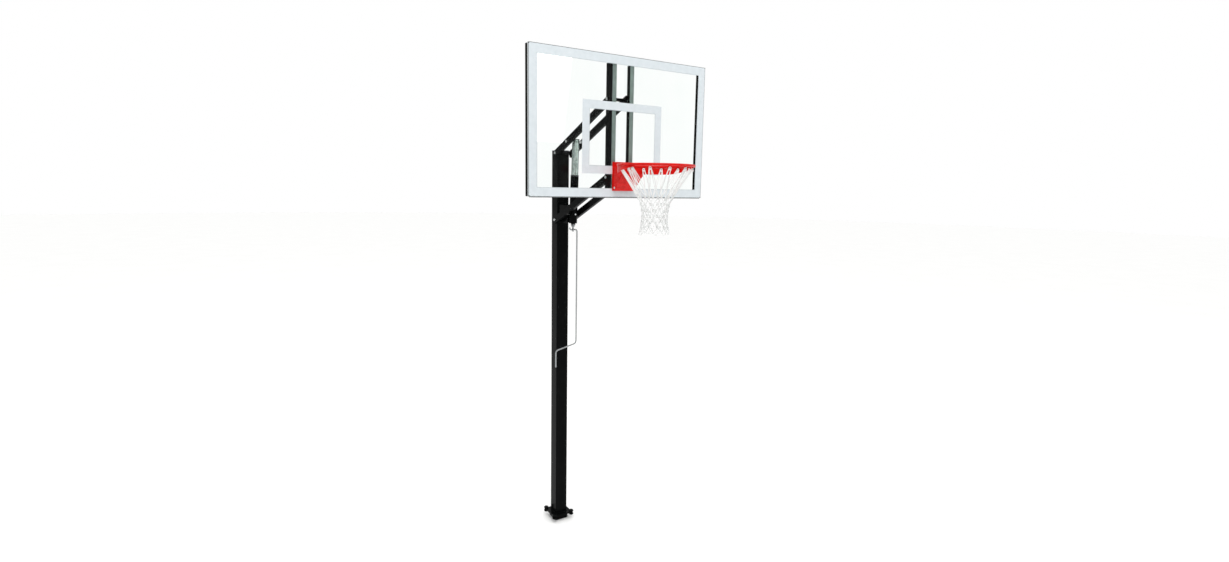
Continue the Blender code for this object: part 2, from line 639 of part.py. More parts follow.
def build_fork(housing):
    """The fitting in the housing's lower end, with two cheeks and the pin the crank swings on."""
    axis = -ACTUATOR_DOWN
    plug_length = 0.012
    cheek_thickness = 0.0045
    cheek_width = 0.017
    cheek_drop = YOKE_PIN_DROP + 0.008
    plug_middle = LIFT_PIN + (ACTUATOR_END - plug_length / 2) * ACTUATOR_DOWN
    fork = add_ring_sleeve(ACTUATOR_RADIUS - 0.002 - GAP, 0.0115, plug_length, plug_middle, axis, 24)
    cheek_length = cheek_drop + plug_length / 2
    cheek_middle = LIFT_PIN + (ACTUATOR_END + cheek_drop - cheek_length / 2) * ACTUATOR_DOWN
    cheek_x = YOKE_WIDTH / 2 + 0.0005 + cheek_thickness / 2
    for side in (-1, 1):
        cheek = add_box((cheek_thickness, cheek_width, cheek_length), cheek_middle + side * cheek_x * X_AXIS,
                        rotation=(ACTUATOR_TILT, 0.0, 0.0))
        cut(fork, cheek, "UNION")
    drill(fork, YOKE_PIN, X_AXIS, 0.0033, 0.06)
    place_part(fork, "housing_fork", black, housing)
    reach = (cheek_x + cheek_thickness / 2 + GAP) * X_AXIS
    pin = add_bolt(YOKE_PIN - reach, YOKE_PIN + reach, shank=0.003, head=0.005, thickness=0.003)
    place_part(pin, "yoke_pin", zinc, housing)


def build_lug(housing):
    """The slotted lug behind the housing that the trunnion bolt passes through."""
    slot_back = 0.0270
    slot_front = 0.0258
    slot_half = 0.0105
    down = (LIFT_PIN.z - TRUNNION_Z) / -ACTUATOR_DOWN.z
    lug_front = LIFT_PIN.y + down * ACTUATOR_DOWN.y + ACTUATOR_RADIUS + 0.0018
    lug_back = TRUNNION_Y + slot_back + 0.006
    outline = [(lug_front - TRUNNION_Y, -0.022), (lug_back - TRUNNION_Y, -0.022),
               (lug_back - TRUNNION_Y, 0.022), (lug_front - TRUNNION_Y, 0.022)]
    slot = [(slot_back, -slot_half + 0.006), (slot_back, slot_half - 0.006), (slot_back - 0.006, slot_half),
            (-slot_front + 0.006, slot_half), (-slot_front, slot_half - 0.006),
            (-slot_front, -slot_half + 0.006), (-slot_front + 0.006, -slot_half),
            (slot_back - 0.006, -slot_half)]
    lug = add_outline([outline, slot], 0.030, (0.0, TRUNNION_Y, TRUNNION_Z),
                      rotation=(math.pi / 2, 0.0, math.pi / 2))
    place_part(lug, "trunnion_lug", black, housing)


def build_crank():
    """The yoke on its pin, the eye that turns in it and the hooked crank that hangs in the eye."""
    yoke_joint = make_joint("crank_yoke", YOKE_PIN)
    crank_joint = make_joint("crank", EYE)
    turn = Matrix.Translation(EYE) @ Matrix.Rotation(CRANK_TURN, 4, "Z")

    round_steps = 12
    half = YOKE_WIDTH / 2
    outline = [(-half, -YOKE_DEPTH), (half, -YOKE_DEPTH)]
    for step in range(round_steps + 1):
        angle = math.pi * step / round_steps
        outline.append((half * math.cos(angle), half * math.sin(angle)))
    yoke = add_outline([outline], YOKE_WIDTH, YOKE_PIN, rotation=(math.pi / 2, 0.0, math.pi / 2))
    stem_radius = 0.0045
    stem_top = 0.0065
    drill(yoke, YOKE_PIN, X_AXIS, 0.0033, 0.06)
    hole_length = YOKE_DEPTH - stem_top + 0.0015
    drill(yoke, YOKE_PIN - (YOKE_DEPTH + 0.001 - hole_length / 2) * Z_AXIS, Z_AXIS,
          stem_radius + 0.0005, hole_length)
    place_part(yoke, "crank_yoke", zinc, yoke_joint)

    bpy.ops.mesh.primitive_torus_add(major_radius=EYE_RADIUS, minor_radius=EYE_ROD, major_segments=24,
                                     minor_segments=8, location=EYE,
                                     rotation=(0.0, math.pi / 2, CRANK_TURN))
    eye = bpy.context.object
    stem_length = EYE_DROP - stem_top - EYE_RADIUS
    stem = add_cylinder(stem_radius, stem_length, EYE + (EYE_RADIUS + stem_length / 2) * Z_AXIS, Z_AXIS, 16)
    cut(eye, stem, "UNION")
    place_part(eye, "crank_eye", steel, crank_joint)

    bend = 0.012
    hook_z = -(EYE_RADIUS - EYE_ROD - CRANK_ROD - GAP)
    elbow_z = -CRANK_LENGTH
    handle_z = -CRANK_LENGTH - CRANK_DROP
    outline = [(-0.026, hook_z + 0.016), (-0.025, hook_z + 0.008), (-0.020, hook_z + 0.001), (-0.012, hook_z)]
    outline += [(CRANK_HOOK - bend, hook_z), (CRANK_HOOK - bend * 0.3, hook_z - bend * 0.3)]
    outline += [(CRANK_HOOK, hook_z - bend), (CRANK_HOOK, elbow_z + bend)]
    outline += [(CRANK_HOOK - bend * 0.35, elbow_z - bend * 0.35)]
    outline += [(CRANK_HOOK - bend * 1.2, elbow_z - bend * 1.1)]
    outline += [(-CRANK_HANDLE + bend, handle_z + bend * 0.5)]
    outline += [(-CRANK_HANDLE + bend * 0.25, handle_z - bend * 0.3)]
    outline += [(-CRANK_HANDLE, handle_z - bend), (-CRANK_HANDLE, handle_z - CRANK_HANDLE_LENGTH)]
    points = [turn @ Vector((x, 0.0, z)) for x, z in outline]
    place_part(add_rod(points, CRANK_ROD), "crank_rod", zinc, crank_joint)


clear_scene()
parts = make_collection("basketball_hoop")
cutters = make_collection("cutters")

black = make_material("black_gloss_paint", (0.012, 0.012, 0.013), 0.30, 0.2)
red = make_material("red_powder_coat", (0.62, 0.020, 0.015), 0.38)
zinc = make_material("zinc_plate", (0.55, 0.56, 0.56), 0.35, 1.0)
steel = make_material("bright_steel", (0.50, 0.50, 0.50), 0.30, 1.0)
brass = make_material("bronze_bearing", (0.45, 0.30, 0.12), 0.35, 1.0)
plastic = make_material("black_plastic", (0.02, 0.02, 0.02), 0.55)
pale_paint = make_material("pale_plated_tube", (0.62, 0.66, 0.64), 0.28, 0.6)
clear_glass = make_material("clear_glass", (0.85, 0.92, 0.90), 0.04, 0.0, 0.25)
cotton = make_material("white_cord", (0.85, 0.85, 0.83), 0.85)

build_foot()
build_pole()
build_bracket()
build_arms()
backboard = build_backboard()
build_rim_plate(backboard)
build_rim()
build_actuator()
build_crank()
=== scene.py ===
import json
import math
import random

import bpy
from mathutils import Matrix, Vector, noise


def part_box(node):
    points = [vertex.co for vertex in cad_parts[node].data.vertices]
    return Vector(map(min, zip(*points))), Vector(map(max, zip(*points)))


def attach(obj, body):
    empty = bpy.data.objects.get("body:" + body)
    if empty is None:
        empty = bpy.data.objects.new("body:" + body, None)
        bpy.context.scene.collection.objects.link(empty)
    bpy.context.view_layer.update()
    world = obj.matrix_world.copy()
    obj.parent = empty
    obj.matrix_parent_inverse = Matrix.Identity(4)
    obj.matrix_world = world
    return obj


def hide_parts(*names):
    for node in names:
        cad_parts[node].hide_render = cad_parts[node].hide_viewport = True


bl_info = {
    "name": "Basketball Hoop Finishing",
    "version": (1, 0, 0),
    "blender": (4, 5, 0),
    "location": "View3D > Sidebar > Hoop",
    "description": "Dresses the hoop's frame with its paint, print, fasteners, welds and net",
    "category": "Object",
}

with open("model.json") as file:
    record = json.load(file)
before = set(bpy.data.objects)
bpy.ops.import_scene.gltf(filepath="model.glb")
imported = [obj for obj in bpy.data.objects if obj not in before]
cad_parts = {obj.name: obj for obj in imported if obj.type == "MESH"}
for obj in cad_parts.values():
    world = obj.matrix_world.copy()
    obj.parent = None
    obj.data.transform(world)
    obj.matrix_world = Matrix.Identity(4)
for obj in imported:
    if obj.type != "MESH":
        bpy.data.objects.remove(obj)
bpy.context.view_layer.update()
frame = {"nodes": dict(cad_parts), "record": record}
NODES = frame["nodes"]

X = Vector((1.0, 0.0, 0.0))
Y = Vector((0.0, 1.0, 0.0))
Z = Vector((0.0, 0.0, 1.0))


def node_box(name):
    """Lowest and highest corner of a CAD node, as vectors."""
    low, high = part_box(name)
    return Vector(low), Vector(high)


GLASS_LOW, GLASS_HIGH = node_box("glass_panel")
RING_LOW, RING_HIGH = node_box("rim_ring")
RING_CENTRE = (RING_LOW + RING_HIGH) / 2
RING_ROD = (RING_HIGH.z - RING_LOW.z) / 2
RING_RADIUS = (RING_HIGH.x - RING_LOW.x) / 2 - RING_ROD
PLATE_TOP = node_box("base_plate")[1].z
POLE_LOW, POLE_HIGH = node_box("pole_tube")


# ---------------------------------------------------------------- materials

def srgb(hex_colour):
    """An sRGB hex string as a linear RGBA tuple."""
    linear = []
    for start in (1, 3, 5):
        value = int(hex_colour[start:start + 2], 16) / 255
        linear.append(value / 12.92 if value <= 0.04045 else ((value + 0.055) / 1.055) ** 2.4)
    return (*linear, 1.0)


def per_metre(millimetres):
    """How many times a pattern of this real size repeats in a metre."""
    return 1000.0 / millimetres


def add_node(tree, kind, inputs=None, **settings):
    """Adds a shader node with its settings, values and links."""
    node = tree.nodes.new(kind)
    for name, value in settings.items():
        setattr(node, name, value)
    for socket, value in (inputs or {}).items():
        if isinstance(value, bpy.types.NodeSocket):
            tree.links.new(value, node.inputs[socket])
        else:
            node.inputs[socket].default_value = value
    return node


def new_material(name, **sockets):
    """An empty material: its tree, its Principled shader and the object's coordinates."""
    material = bpy.data.materials.new(name)
    material.use_nodes = True
    tree = material.node_tree
    shader = tree.nodes["Principled BSDF"]
    for socket, value in sockets.items():
        shader.inputs[socket.replace("_", " ")].default_value = value
    place = add_node(tree, "ShaderNodeTexCoord")
    return material, tree, shader, place.outputs["Object"]


def colour_ramp(tree, fac, stops):
    """A ramp over fac through (position, hex or grey) stops."""
    ramp = add_node(tree, "ShaderNodeValToRGB", {"Fac": fac})
    elements = ramp.color_ramp.elements
    while len(elements) < len(stops):
        elements.new(0.5)
    for element, (position, value) in zip(elements, stops):
        element.position = position
        element.color = srgb(value) if isinstance(value, str) else (value, value, value, 1.0)
    return ramp.outputs["Color"]


def powder_coat(name, shades, roughness, **sockets):
    """Baked powder coat: a glossy skin with a fine orange peel and faint handling marks."""
    material, tree, shader, place = new_material(name, **sockets)
    dust = add_node(tree, "ShaderNodeTexNoise",
                    {"Vector": place, "Scale": per_metre(70.0), "Detail": 6.0, "Roughness": 0.62})
    peel = add_node(tree, "ShaderNodeTexNoise",
                    {"Vector": place, "Scale": per_metre(1.6), "Detail": 2.0, "Roughness": 0.5})
    colour = colour_ramp(tree, dust.outputs["Fac"], list(zip((0.30, 0.55, 0.80), shades)))
    tree.links.new(colour, shader.inputs["Base Color"])
    gloss = add_node(tree, "ShaderNodeMapRange",
                     {"Value": dust.outputs["Fac"], "From Min": 0.3, "From Max": 0.75,
                      "To Min": roughness - 0.05, "To Max": roughness + 0.09})
    tree.links.new(gloss.outputs["Result"], shader.inputs["Roughness"])
    bump = add_node(tree, "ShaderNodeBump",
                    {"Height": peel.outputs["Fac"], "Strength": 0.35, "Distance": 0.00006})
    tree.links.new(bump.outputs["Normal"], shader.inputs["Normal"])
    return material


def black_powder_coat():
    """Gloss black powder coat on steel: deep black with soft highlights along the edges."""
    return powder_coat("black_powder_coat_on_steel", ("#050607", "#080909", "#0F1011"), 0.20,
                       Specular_IOR_Level=0.035)


def red_powder_coat():
    """Orange-red powder coat on the rim: saturated, a little deeper where dirt gathers."""
    return powder_coat("orange_red_powder_coat_on_steel", ("#B60D08", "#CC130E", "#D41C15"), 0.28,
                       Specular_IOR_Level=0.10)


def plated_metal(name, shades):
    """Zinc plating: grey metal with a faint blue and straw bloom and soft mottling."""
    material, tree, shader, place = new_material(name, Metallic=1.0)
    bloom = add_node(tree, "ShaderNodeTexNoise",
                     {"Vector": place, "Scale": per_metre(9.0), "Detail": 5.0, "Roughness": 0.6})
    crystals = add_node(tree, "ShaderNodeTexVoronoi", {"Vector": place, "Scale": per_metre(1.8)})
    colour = colour_ramp(tree, bloom.outputs["Fac"], list(zip((0.25, 0.5, 0.75), shades)))
    tree.links.new(colour, shader.inputs["Base Color"])
    gloss = add_node(tree, "ShaderNodeMapRange",
                     {"Value": crystals.outputs["Distance"], "From Max": 0.9,
                      "To Min": 0.26, "To Max": 0.42})
    tree.links.new(gloss.outputs["Result"], shader.inputs["Roughness"])
    bump = add_node(tree, "ShaderNodeBump",
                    {"Height": bloom.outputs["Fac"], "Strength": 0.2, "Distance": 0.0001})
    tree.links.new(bump.outputs["Normal"], shader.inputs["Normal"])
    return material


def zinc_plate():
    """Bright zinc plate on the bolts: pale and lively, so that each head reads as a light dot."""
    return plated_metal("bright_zinc_plated_steel", ("#C2C7CB", "#D6D9DA", "#DEDCD4"))


def shaded_zinc_plate():
    """A darker copy of the bolts' zinc plate on the crank, as painted shade: an even mid grey."""
    return plated_metal("shaded_zinc_plated_rod", ("#85898C", "#9A9D9F", "#A5A49E"))


def drawn_metal(name, shades, roughness, **sockets):
    """Drawn or turned metal: fine lines run along it and stretch its highlights."""
    material, tree, shader, place = new_material(name, **sockets)
    stretch = add_node(tree, "ShaderNodeMapping", {"Vector": place, "Scale": (1.0, 1.0, 0.02)})
    lines = add_node(tree, "ShaderNodeTexNoise",
                     {"Vector": stretch.outputs["Vector"], "Scale": per_metre(0.5),
                      "Detail": 3.0, "Roughness": 0.5})
    marks = add_node(tree, "ShaderNodeTexNoise",
                     {"Vector": place, "Scale": per_metre(25.0), "Detail": 4.0})
    colour = colour_ramp(tree, marks.outputs["Fac"], list(zip((0.3, 0.5, 0.7), shades)))
    tree.links.new(colour, shader.inputs["Base Color"])
    gloss = add_node(tree, "ShaderNodeMapRange",
                     {"Value": lines.outputs["Fac"], "From Min": 0.3, "From Max": 0.7,
                      "To Min": roughness - 0.05, "To Max": roughness + 0.08})
    tree.links.new(gloss.outputs["Result"], shader.inputs["Roughness"])
    bump = add_node(tree, "ShaderNodeBump",
                    {"Height": lines.outputs["Fac"], "Strength": 0.15, "Distance": 0.00005})
    tree.links.new(bump.outputs["Normal"], shader.inputs["Normal"])
    return material


def plated_tube():
    """Drawn tube with pale passivated plating: light grey-green, glossy, fine lines lengthways."""
    return drawn_metal("pale_passivated_drawn_tube", ("#9AA8A3", "#B4C1BC", "#C4CECA"), 0.17,
                       Metallic=0.85)


def turned_steel():
    """Plain turned steel under a film of oil: mid grey with close tool marks."""
    return drawn_metal("turned_bare_steel", ("#8F9193", "#A5A7A8", "#B5B5B2"), 0.30, Metallic=1.0)


def bearing_bronze():
    """Turned bearing bronze: warm brown-gold, dull where oil has darkened it."""
    return drawn_metal("turned_bearing_bronze", ("#7A5B2E", "#94713A", "#A8834A"), 0.36,
                       Metallic=1.0)


def moulded_plastic(name, shades, roughness, grain_mm):
    """Injection-moulded plastic: an even colour with the mould's fine spark-eroded grain."""
    material, tree, shader, place = new_material(name, Roughness=roughness, IOR=1.49)
    grain = add_node(tree, "ShaderNodeTexNoise",
                     {"Vector": place, "Scale": per_metre(grain_mm), "Detail": 2.0})
    wear = add_node(tree, "ShaderNodeTexNoise",
                    {"Vector": place, "Scale": per_metre(40.0), "Detail": 4.0})
    colour = colour_ramp(tree, wear.outputs["Fac"], list(zip((0.3, 0.7), shades)))
    tree.links.new(colour, shader.inputs["Base Color"])
    bump = add_node(tree, "ShaderNodeBump",
                    {"Height": grain.outputs["Fac"], "Strength": 0.4, "Distance": 0.0001})
    tree.links.new(bump.outputs["Normal"], shader.inputs["Normal"])
    return material


def black_plastic():
    """Black polypropylene mouldings: satin, with a fine grain."""
    return moulded_plastic("moulded_black_polypropylene", ("#141516", "#1D1E20"), 0.46, 0.9)


def grey_seal():
    """Extruded grey PVC seal round the glass: soft sheen and even colour."""
    return moulded_plastic("extruded_grey_pvc_seal", ("#B9C0C1", "#C6CCCC"), 0.42, 1.1)


def flange_reflection_colour():
    """Grey-green pad colour, seen through the glass: painted reflection of light on the uprights'
    black front flanges, matt with a fine grain.
    """
    return moulded_plastic("grey_green_painted_flange_reflection", ("#6C7975", "#7C8A85"), 0.55, 1.4)


def tempered_glass():
    """Clear tempered float glass: colourless face, faint green body, very slight waves.

    Its IOR is lower than real glass's, so that the even backdrop shows through it unbent.
    """
    material, tree, shader, place = new_material(
        "clear_tempered_glass", Roughness=0.0, IOR=1.12, Transmission_Weight=1.0,
        Specular_IOR_Level=0.5)
    waves = add_node(tree, "ShaderNodeTexNoise",
                     {"Vector": place, "Scale": per_metre(220.0), "Detail": 1.0})
    colour = colour_ramp(tree, waves.outputs["Fac"], ((0.3, "#FAFEFC"), (0.7, "#FDFFFE")))
    tree.links.new(colour, shader.inputs["Base Color"])
    bump = add_node(tree, "ShaderNodeBump",
                    {"Height": waves.outputs["Fac"], "Strength": 0.05, "Distance": 0.0002})
    tree.links.new(bump.outputs["Normal"], shader.inputs["Normal"])
    return material


def printed_enamel(name, shades):
    """Screen-printed ceramic enamel, fired on glass: flat colour with a faint screen mottle."""
    material, tree, shader, place = new_material(name, Roughness=0.22, IOR=1.5)
    mottle = add_node(tree, "ShaderNodeTexNoise",
                      {"Vector": place, "Scale": per_metre(30.0), "Detail": 5.0})
    screen = add_node(tree, "ShaderNodeTexNoise",
                      {"Vector": place, "Scale": per_metre(0.8), "Detail": 1.0})
    colour = colour_ramp(tree, mottle.outputs["Fac"], list(zip((0.3, 0.7), shades)))
    tree.links.new(colour, shader.inputs["Base Color"])
    bump = add_node(tree, "ShaderNodeBump",
                    {"Height": screen.outputs["Fac"], "Strength": 0.12, "Distance": 0.00003})
    tree.links.new(bump.outputs["Normal"], shader.inputs["Normal"])
    return material


def braided_cord():
    """White braided polyester net cord: matt, with the braid's crossing strands as ridges and
    painted shade in the grooves between them.
    """
    material, tree, shader, _ = new_material(
        "white_braided_polyester_cord", Roughness=0.82, Sheen_Weight=0.35, Sheen_Roughness=0.5)
    # The UV's u runs in metres along the cord and its v once round it.
    along = add_node(tree, "ShaderNodeTexCoord").outputs["UV"]
    heights = []
    for turn in (-0.7, 0.7):
        lay = add_node(tree, "ShaderNodeMapping",
                       {"Vector": along, "Rotation": (0.0, 0.0, turn), "Scale": (1.0, 0.006, 1.0)})
        # Strands some 3 mm apart; the wave pattern repeats six times in one unit.
        wave = add_node(tree, "ShaderNodeTexWave",
                        {"Vector": lay.outputs["Vector"], "Scale": per_metre(3.0) / 6.0})
        heights.append(wave.outputs["Fac"])
    braid = add_node(tree, "ShaderNodeMath", {0: heights[0], 1: heights[1]}, operation="MAXIMUM")
    # The braid's grooves are painted darker than its ridges: painted shade.
    colour = colour_ramp(tree, braid.outputs["Value"],
                         ((0.0, "#B4B6B5"), (0.35, "#DADCDB"), (1.0, "#ECEDEC")))
    tree.links.new(colour, shader.inputs["Base Color"])
    bump = add_node(tree, "ShaderNodeBump",
                    {"Height": braid.outputs["Value"], "Strength": 0.6, "Distance": 0.0004})
    tree.links.new(bump.outputs["Normal"], shader.inputs["Normal"])
    return material


def floor_paint():
    """Matt pale studio floor: nearly white, with a barely seen mottle."""
    material, tree, shader, place = new_material("matt_pale_floor_paint", Roughness=0.9)
    mottle = add_node(tree, "ShaderNodeTexNoise",
                      {"Vector": place, "Scale": per_metre(900.0), "Detail": 3.0})
    colour = colour_ramp(tree, mottle.outputs["Fac"], ((0.3, "#FBFBFA"), (0.7, "#FDFDFC")))
    tree.links.new(colour, shader.inputs["Base Color"])
    return material


FINISHES = {
    "black_paint": black_powder_coat,
    "red_paint": red_powder_coat,
    "zinc": zinc_plate,
    # The crank's zinc is a darker copy of the bolts' zinc: painted shade.
    "shaded_zinc": shaded_zinc_plate,
    "pale_tube": plated_tube,
    "bright_steel": turned_steel,
    "bronze": bearing_bronze,
    "black_plastic": black_plastic,
    "seal": grey_seal,
    # The grey-green pads on the uprights are painted reflection on their black front flanges.
    "flange_reflection": flange_reflection_colour,
    "glass": tempered_glass,
    "net_cord": braided_cord,
    "print_white": lambda: printed_enamel("fired_white_enamel_print", ("#CCD4D8", "#D3DADE")),
    "print_line": lambda: printed_enamel("fired_grey_enamel_line", ("#B3BCC0", "#BCC4C7")),
    "floor": floor_paint,
}
made = {}


def finish(name):
    """The material of that finish, made once."""
    if name not in made:
        made[name] = FINISHES[name]()
    return made[name]


# ----------------------------------------------------------------- geometry

def make_piece(name, vertices, faces, finish_name, body, face_uvs=None, smooth=True):
    """A mesh piece in the frame's coordinates, with its finish, that rides on a body."""
    mesh = bpy.data.meshes.new(name)
    mesh.from_pydata([tuple(vertex) for vertex in vertices], [], faces)
    if face_uvs:
        layer = mesh.uv_layers.new(name="along")
        for polygon, uvs in zip(mesh.polygons, face_uvs):
            for loop, uv in zip(polygon.loop_indices, uvs):
                layer.data[loop].uv = uv
    mesh.validate()
    mesh.shade_smooth() if smooth else mesh.shade_flat()
    piece = bpy.data.objects.new(name, mesh)
    bpy.context.scene.collection.objects.link(piece)
    piece.data.materials.append(finish(finish_name))
    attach(piece, body)
    return piece


class Shape:
    """Vertices, faces and UVs that several swept tubes and turned bodies are gathered in."""

    def __init__(self):
        self.vertices = []
        self.faces = []
        self.uvs = []

    def add_rings(self, rings, lengths, closed=False):
        """Joins rings of points into a skin, capped at its ends unless closed."""
        start = len(self.vertices)
        sides = len(rings[0])
        for ring in rings:
            self.vertices.extend(ring)
        count = len(rings)
        for i in range(count if closed else count - 1):
            here = start + i * sides
            there = start + ((i + 1) % count) * sides
            for j in range(sides):
                k = (j + 1) % sides
                self.faces.append((here + j, here + k, there + k, there + j))
                u0 = lengths[i]
                u1 = lengths[i + 1]
                v0 = j / sides
                v1 = (j + 1) / sides
                self.uvs.append(((u0, v0), (u0, v1), (u1, v1), (u1, v0)))
        if not closed:
            last = start + (count - 1) * sides
            self.faces.append(tuple(start + j for j in reversed(range(sides))))
            self.faces.append(tuple(last + j for j in range(sides)))
            self.uvs.append(((0.0, 0.0),) * sides)
            self.uvs.append(((0.0, 0.0),) * sides)

    def add_tube(self, path, radius, sides=8, closed=False):
        """Sweeps a circle along path; radius is one value or one value per point."""
        count = len(path)
        radii = radius if isinstance(radius, list) else [radius] * count
        lengths = [0.0]
        for i in range(count if closed else count - 1):
            lengths.append(lengths[-1] + (path[(i + 1) % count] - path[i]).length)
        side = None
        rings = []
        for i in range(count):
            if closed:
                ahead = path[(i + 1) % count] - path[i - 1]
            else:
                ahead = path[min(i + 1, count - 1)] - path[max(i - 1, 0)]
            ahead.normalize()
            if side is None:
                side = ahead.orthogonal().normalized()
            side = (side - ahead * side.dot(ahead)).normalized()
            other = ahead.cross(side)
            rings.append([path[i] + radii[i] * (math.cos(a) * side + math.sin(a) * other)
                          for a in (2 * math.pi * j / sides for j in range(sides))])
        self.add_rings(rings, lengths, closed)

    def add_turned(self, origin, axis, levels, sides=48, flats=0.0):
        """Turns (height, radius) levels about axis; flats, if any, is a hexagon's half width."""
        side = axis.orthogonal().normalized()
        other = axis.cross(side)
        rings = []
        for height, radius in levels:
            ring = []
            for j in range(sides):
                angle = 2 * math.pi * j / sides
                reach = radius
                if flats:
                    off_flat = (angle + math.pi / 6) % (math.pi / 3) - math.pi / 6
                    reach = min(radius, flats / math.cos(off_flat))
                ring.append(origin + axis * height
                            + reach * (math.cos(angle) * side + math.sin(angle) * other))
            rings.append(ring)
        self.add_rings(rings, [0.0] * len(rings))

    def add_thread(self, origin, axis, start, end, radius, pitch, sides=16):
        """A screw thread from start to end along axis, with its ridge wound as a helix."""
        rings_per_turn = 6
        depth = 0.6 * pitch
        side = axis.orthogonal().normalized()
        other = axis.cross(side)
        steps = max(int((end - start) / pitch * rings_per_turn), 4)
        rings = []
        for i in range(steps + 1):
            height = start + (end - start) * i / steps
            ring = []
            for j in range(sides):
                angle = 2 * math.pi * j / sides
                turn = (height / pitch - j / sides) % 1.0
                reach = radius - depth * abs(2 * turn - 1)
                ring.append(origin + axis * height
                            + reach * (math.cos(angle) * side + math.sin(angle) * other))
            rings.append(ring)
        self.add_rings(rings, [0.0] * len(rings))

    def piece(self, name, finish_name, body, slot, with_uvs=False, smooth=True):
        """Makes the gathered shape into one piece."""
        return make_piece(name, self.vertices, self.faces, finish_name, body,
                          self.uvs if with_uvs else None, smooth)


def keep_edges(piece, degrees=32.0):
    """Smooth shading that keeps edges sharper than this angle."""
    piece.data.set_sharp_from_angle(angle=math.radians(degrees))


def rounded_loop(width, height, radius, steps=6):
    """Points of a rounded rectangle about the origin, counterclockwise, as (x, z)."""
    points = []
    centres = ((1, 1, 0.0), (-1, 1, 0.5), (-1, -1, 1.0), (1, -1, 1.5))
    for side_x, side_z, start in centres:
        for step in range(steps + 1):
            angle = math.pi * (start + 0.5 * step / steps)
            points.append((side_x * (width / 2 - radius) + radius * math.cos(angle),
                           side_z * (height / 2 - radius) + radius * math.sin(angle)))
    return points


def printed_band(name, outer, inner, centre_z, front, back, finish_name):
    """A closed flat band between two loops of equal point count, facing the court."""
    count = len(outer)
    vertices = []
    for loop, y in ((outer, front), (inner, front), (inner, back), (outer, back)):
        vertices.extend((x, y, centre_z + z) for x, z in loop)
    faces = []
    for level in range(4):
        here = level * count
        there = ((level + 1) % 4) * count
        for i in range(count):
            j = (i + 1) % count
            faces.append((here + i, here + j, there + j, there + i))
    return make_piece(name, vertices, faces, finish_name, "backboard", smooth=False)


def frame_body(node):
    """The body that a CAD node rides on."""
    for body, nodes in frame["record"]["behaviour"]["bodies"].items():
        if node in nodes:
            return body
    raise ValueError("no body holds " + node)


def bead_path(points, spacing=0.0011):
    """Even points along a polyline."""
    path = []
    for start, end in zip(points, points[1:]):
        count = max(int((end - start).length / spacing), 2)
        path.extend(start.lerp(end, i / count) for i in range(count))
    path.append(points[-1])
    return path


def arc_points(centre, radius, start, end, count=40):
    """Points on a level arc; angle 0 points to the board."""
    return [centre + radius * Vector((math.sin(a), math.cos(a), 0.0))
            for a in (start + (end - start) * i / count for i in range(count + 1))]


# --------------------------------------------------------------- properties

class HoopPrint(bpy.types.PropertyGroup):
    """Sizes of the lines printed on the glass."""

    border: bpy.props.FloatProperty(
        name="Border", description="Width of the white border", default=0.0565, unit="LENGTH")
    corner: bpy.props.FloatProperty(
        name="Corner", description="Radius of the border's outer corners", default=0.012,
        unit="LENGTH")
    target_width: bpy.props.FloatProperty(
        name="Target width", description="Outer width of the target box", default=0.6217,
        unit="LENGTH")
    target_height: bpy.props.FloatProperty(
        name="Target height", description="Outer height of the target box", default=0.4656,
        unit="LENGTH")
    target_band: bpy.props.FloatProperty(
        name="Target band", description="Width of the target's band", default=0.0545,
        unit="LENGTH")
    target_rise: bpy.props.FloatProperty(
        name="Target rise", description="Glass's bottom edge up to the target", default=0.1514,
        unit="LENGTH")
    line: bpy.props.FloatProperty(
        name="Line", description="Width of the grey line along each band", default=0.004,
        unit="LENGTH")


class HoopNet(bpy.types.PropertyGroup):
    """The net's cord and knots."""

    cord: bpy.props.FloatProperty(
        name="Cord", description="Diameter of the net cord", default=0.0050, unit="LENGTH")
    loops: bpy.props.IntProperty(
        name="Loops", description="Number of loops on the ring", default=12, min=8, max=16)
    looseness: bpy.props.FloatProperty(
        name="Looseness", description="How far knots stray from their rows", default=0.0055,
        unit="LENGTH")


class HoopMetal(bpy.types.PropertyGroup):
    """Fasteners and welds."""

    thread_pitch: bpy.props.FloatProperty(
        name="Thread pitch", description="Pitch of the bolts' threads", default=0.0012,
        unit="LENGTH")
    weld: bpy.props.FloatProperty(
        name="Weld", description="Radius of a weld bead", default=0.0032, unit="LENGTH")
    ripple: bpy.props.FloatProperty(
        name="Ripple", description="Spacing of a weld bead's ripples", default=0.0032,
        unit="LENGTH")


class HoopStage(bpy.types.PropertyGroup):
    """The floor, the lights and the camera."""

    key: bpy.props.FloatProperty(
        name="Key", description="Power of the key light", default=230.0, unit="POWER")
    sky_low: bpy.props.FloatProperty(
        name="Low sky", description="Strength of the light round the horizon", default=0.30)
    sky_high: bpy.props.FloatProperty(
        name="High sky", description="Strength of the light from overhead", default=1.40)
    sky_colour: bpy.props.FloatVectorProperty(
        name="Sky colour", description="Colour of the even light", subtype="COLOR",
        default=srgb("#FFFFFF")[:3])
    lens: bpy.props.FloatProperty(
        name="Lens", description="Focal length for a 36 mm wide sensor", default=18.465,
        subtype="DISTANCE_CAMERA")


# ---------------------------------------------------------------- operators

LIGHT_TARGET = Vector((0.0, -0.5, 2.6))
LIGHTS = (
    # name, place, size, share of the key light's power
    ("key", Vector((-1.5, -5.0, 9.0)), 3.0, 1.0),
    ("fill", Vector((6.0, -4.0, 3.0)), 5.0, 0.12),
    ("back", Vector((1.5, 6.5, 5.5)), 4.0, 0.2),
    ("strip", Vector((-7.0, -3.6, 4.2)), 0.8, 0.25),
)
FLOOR_REACH = 60.0
CAMERA_PLACE = Vector((-2.3434, -4.4773, 2.787))
CAMERA_YAW, CAMERA_PITCH, CAMERA_ROLL = 0.5697, 0.1477, 0.0182


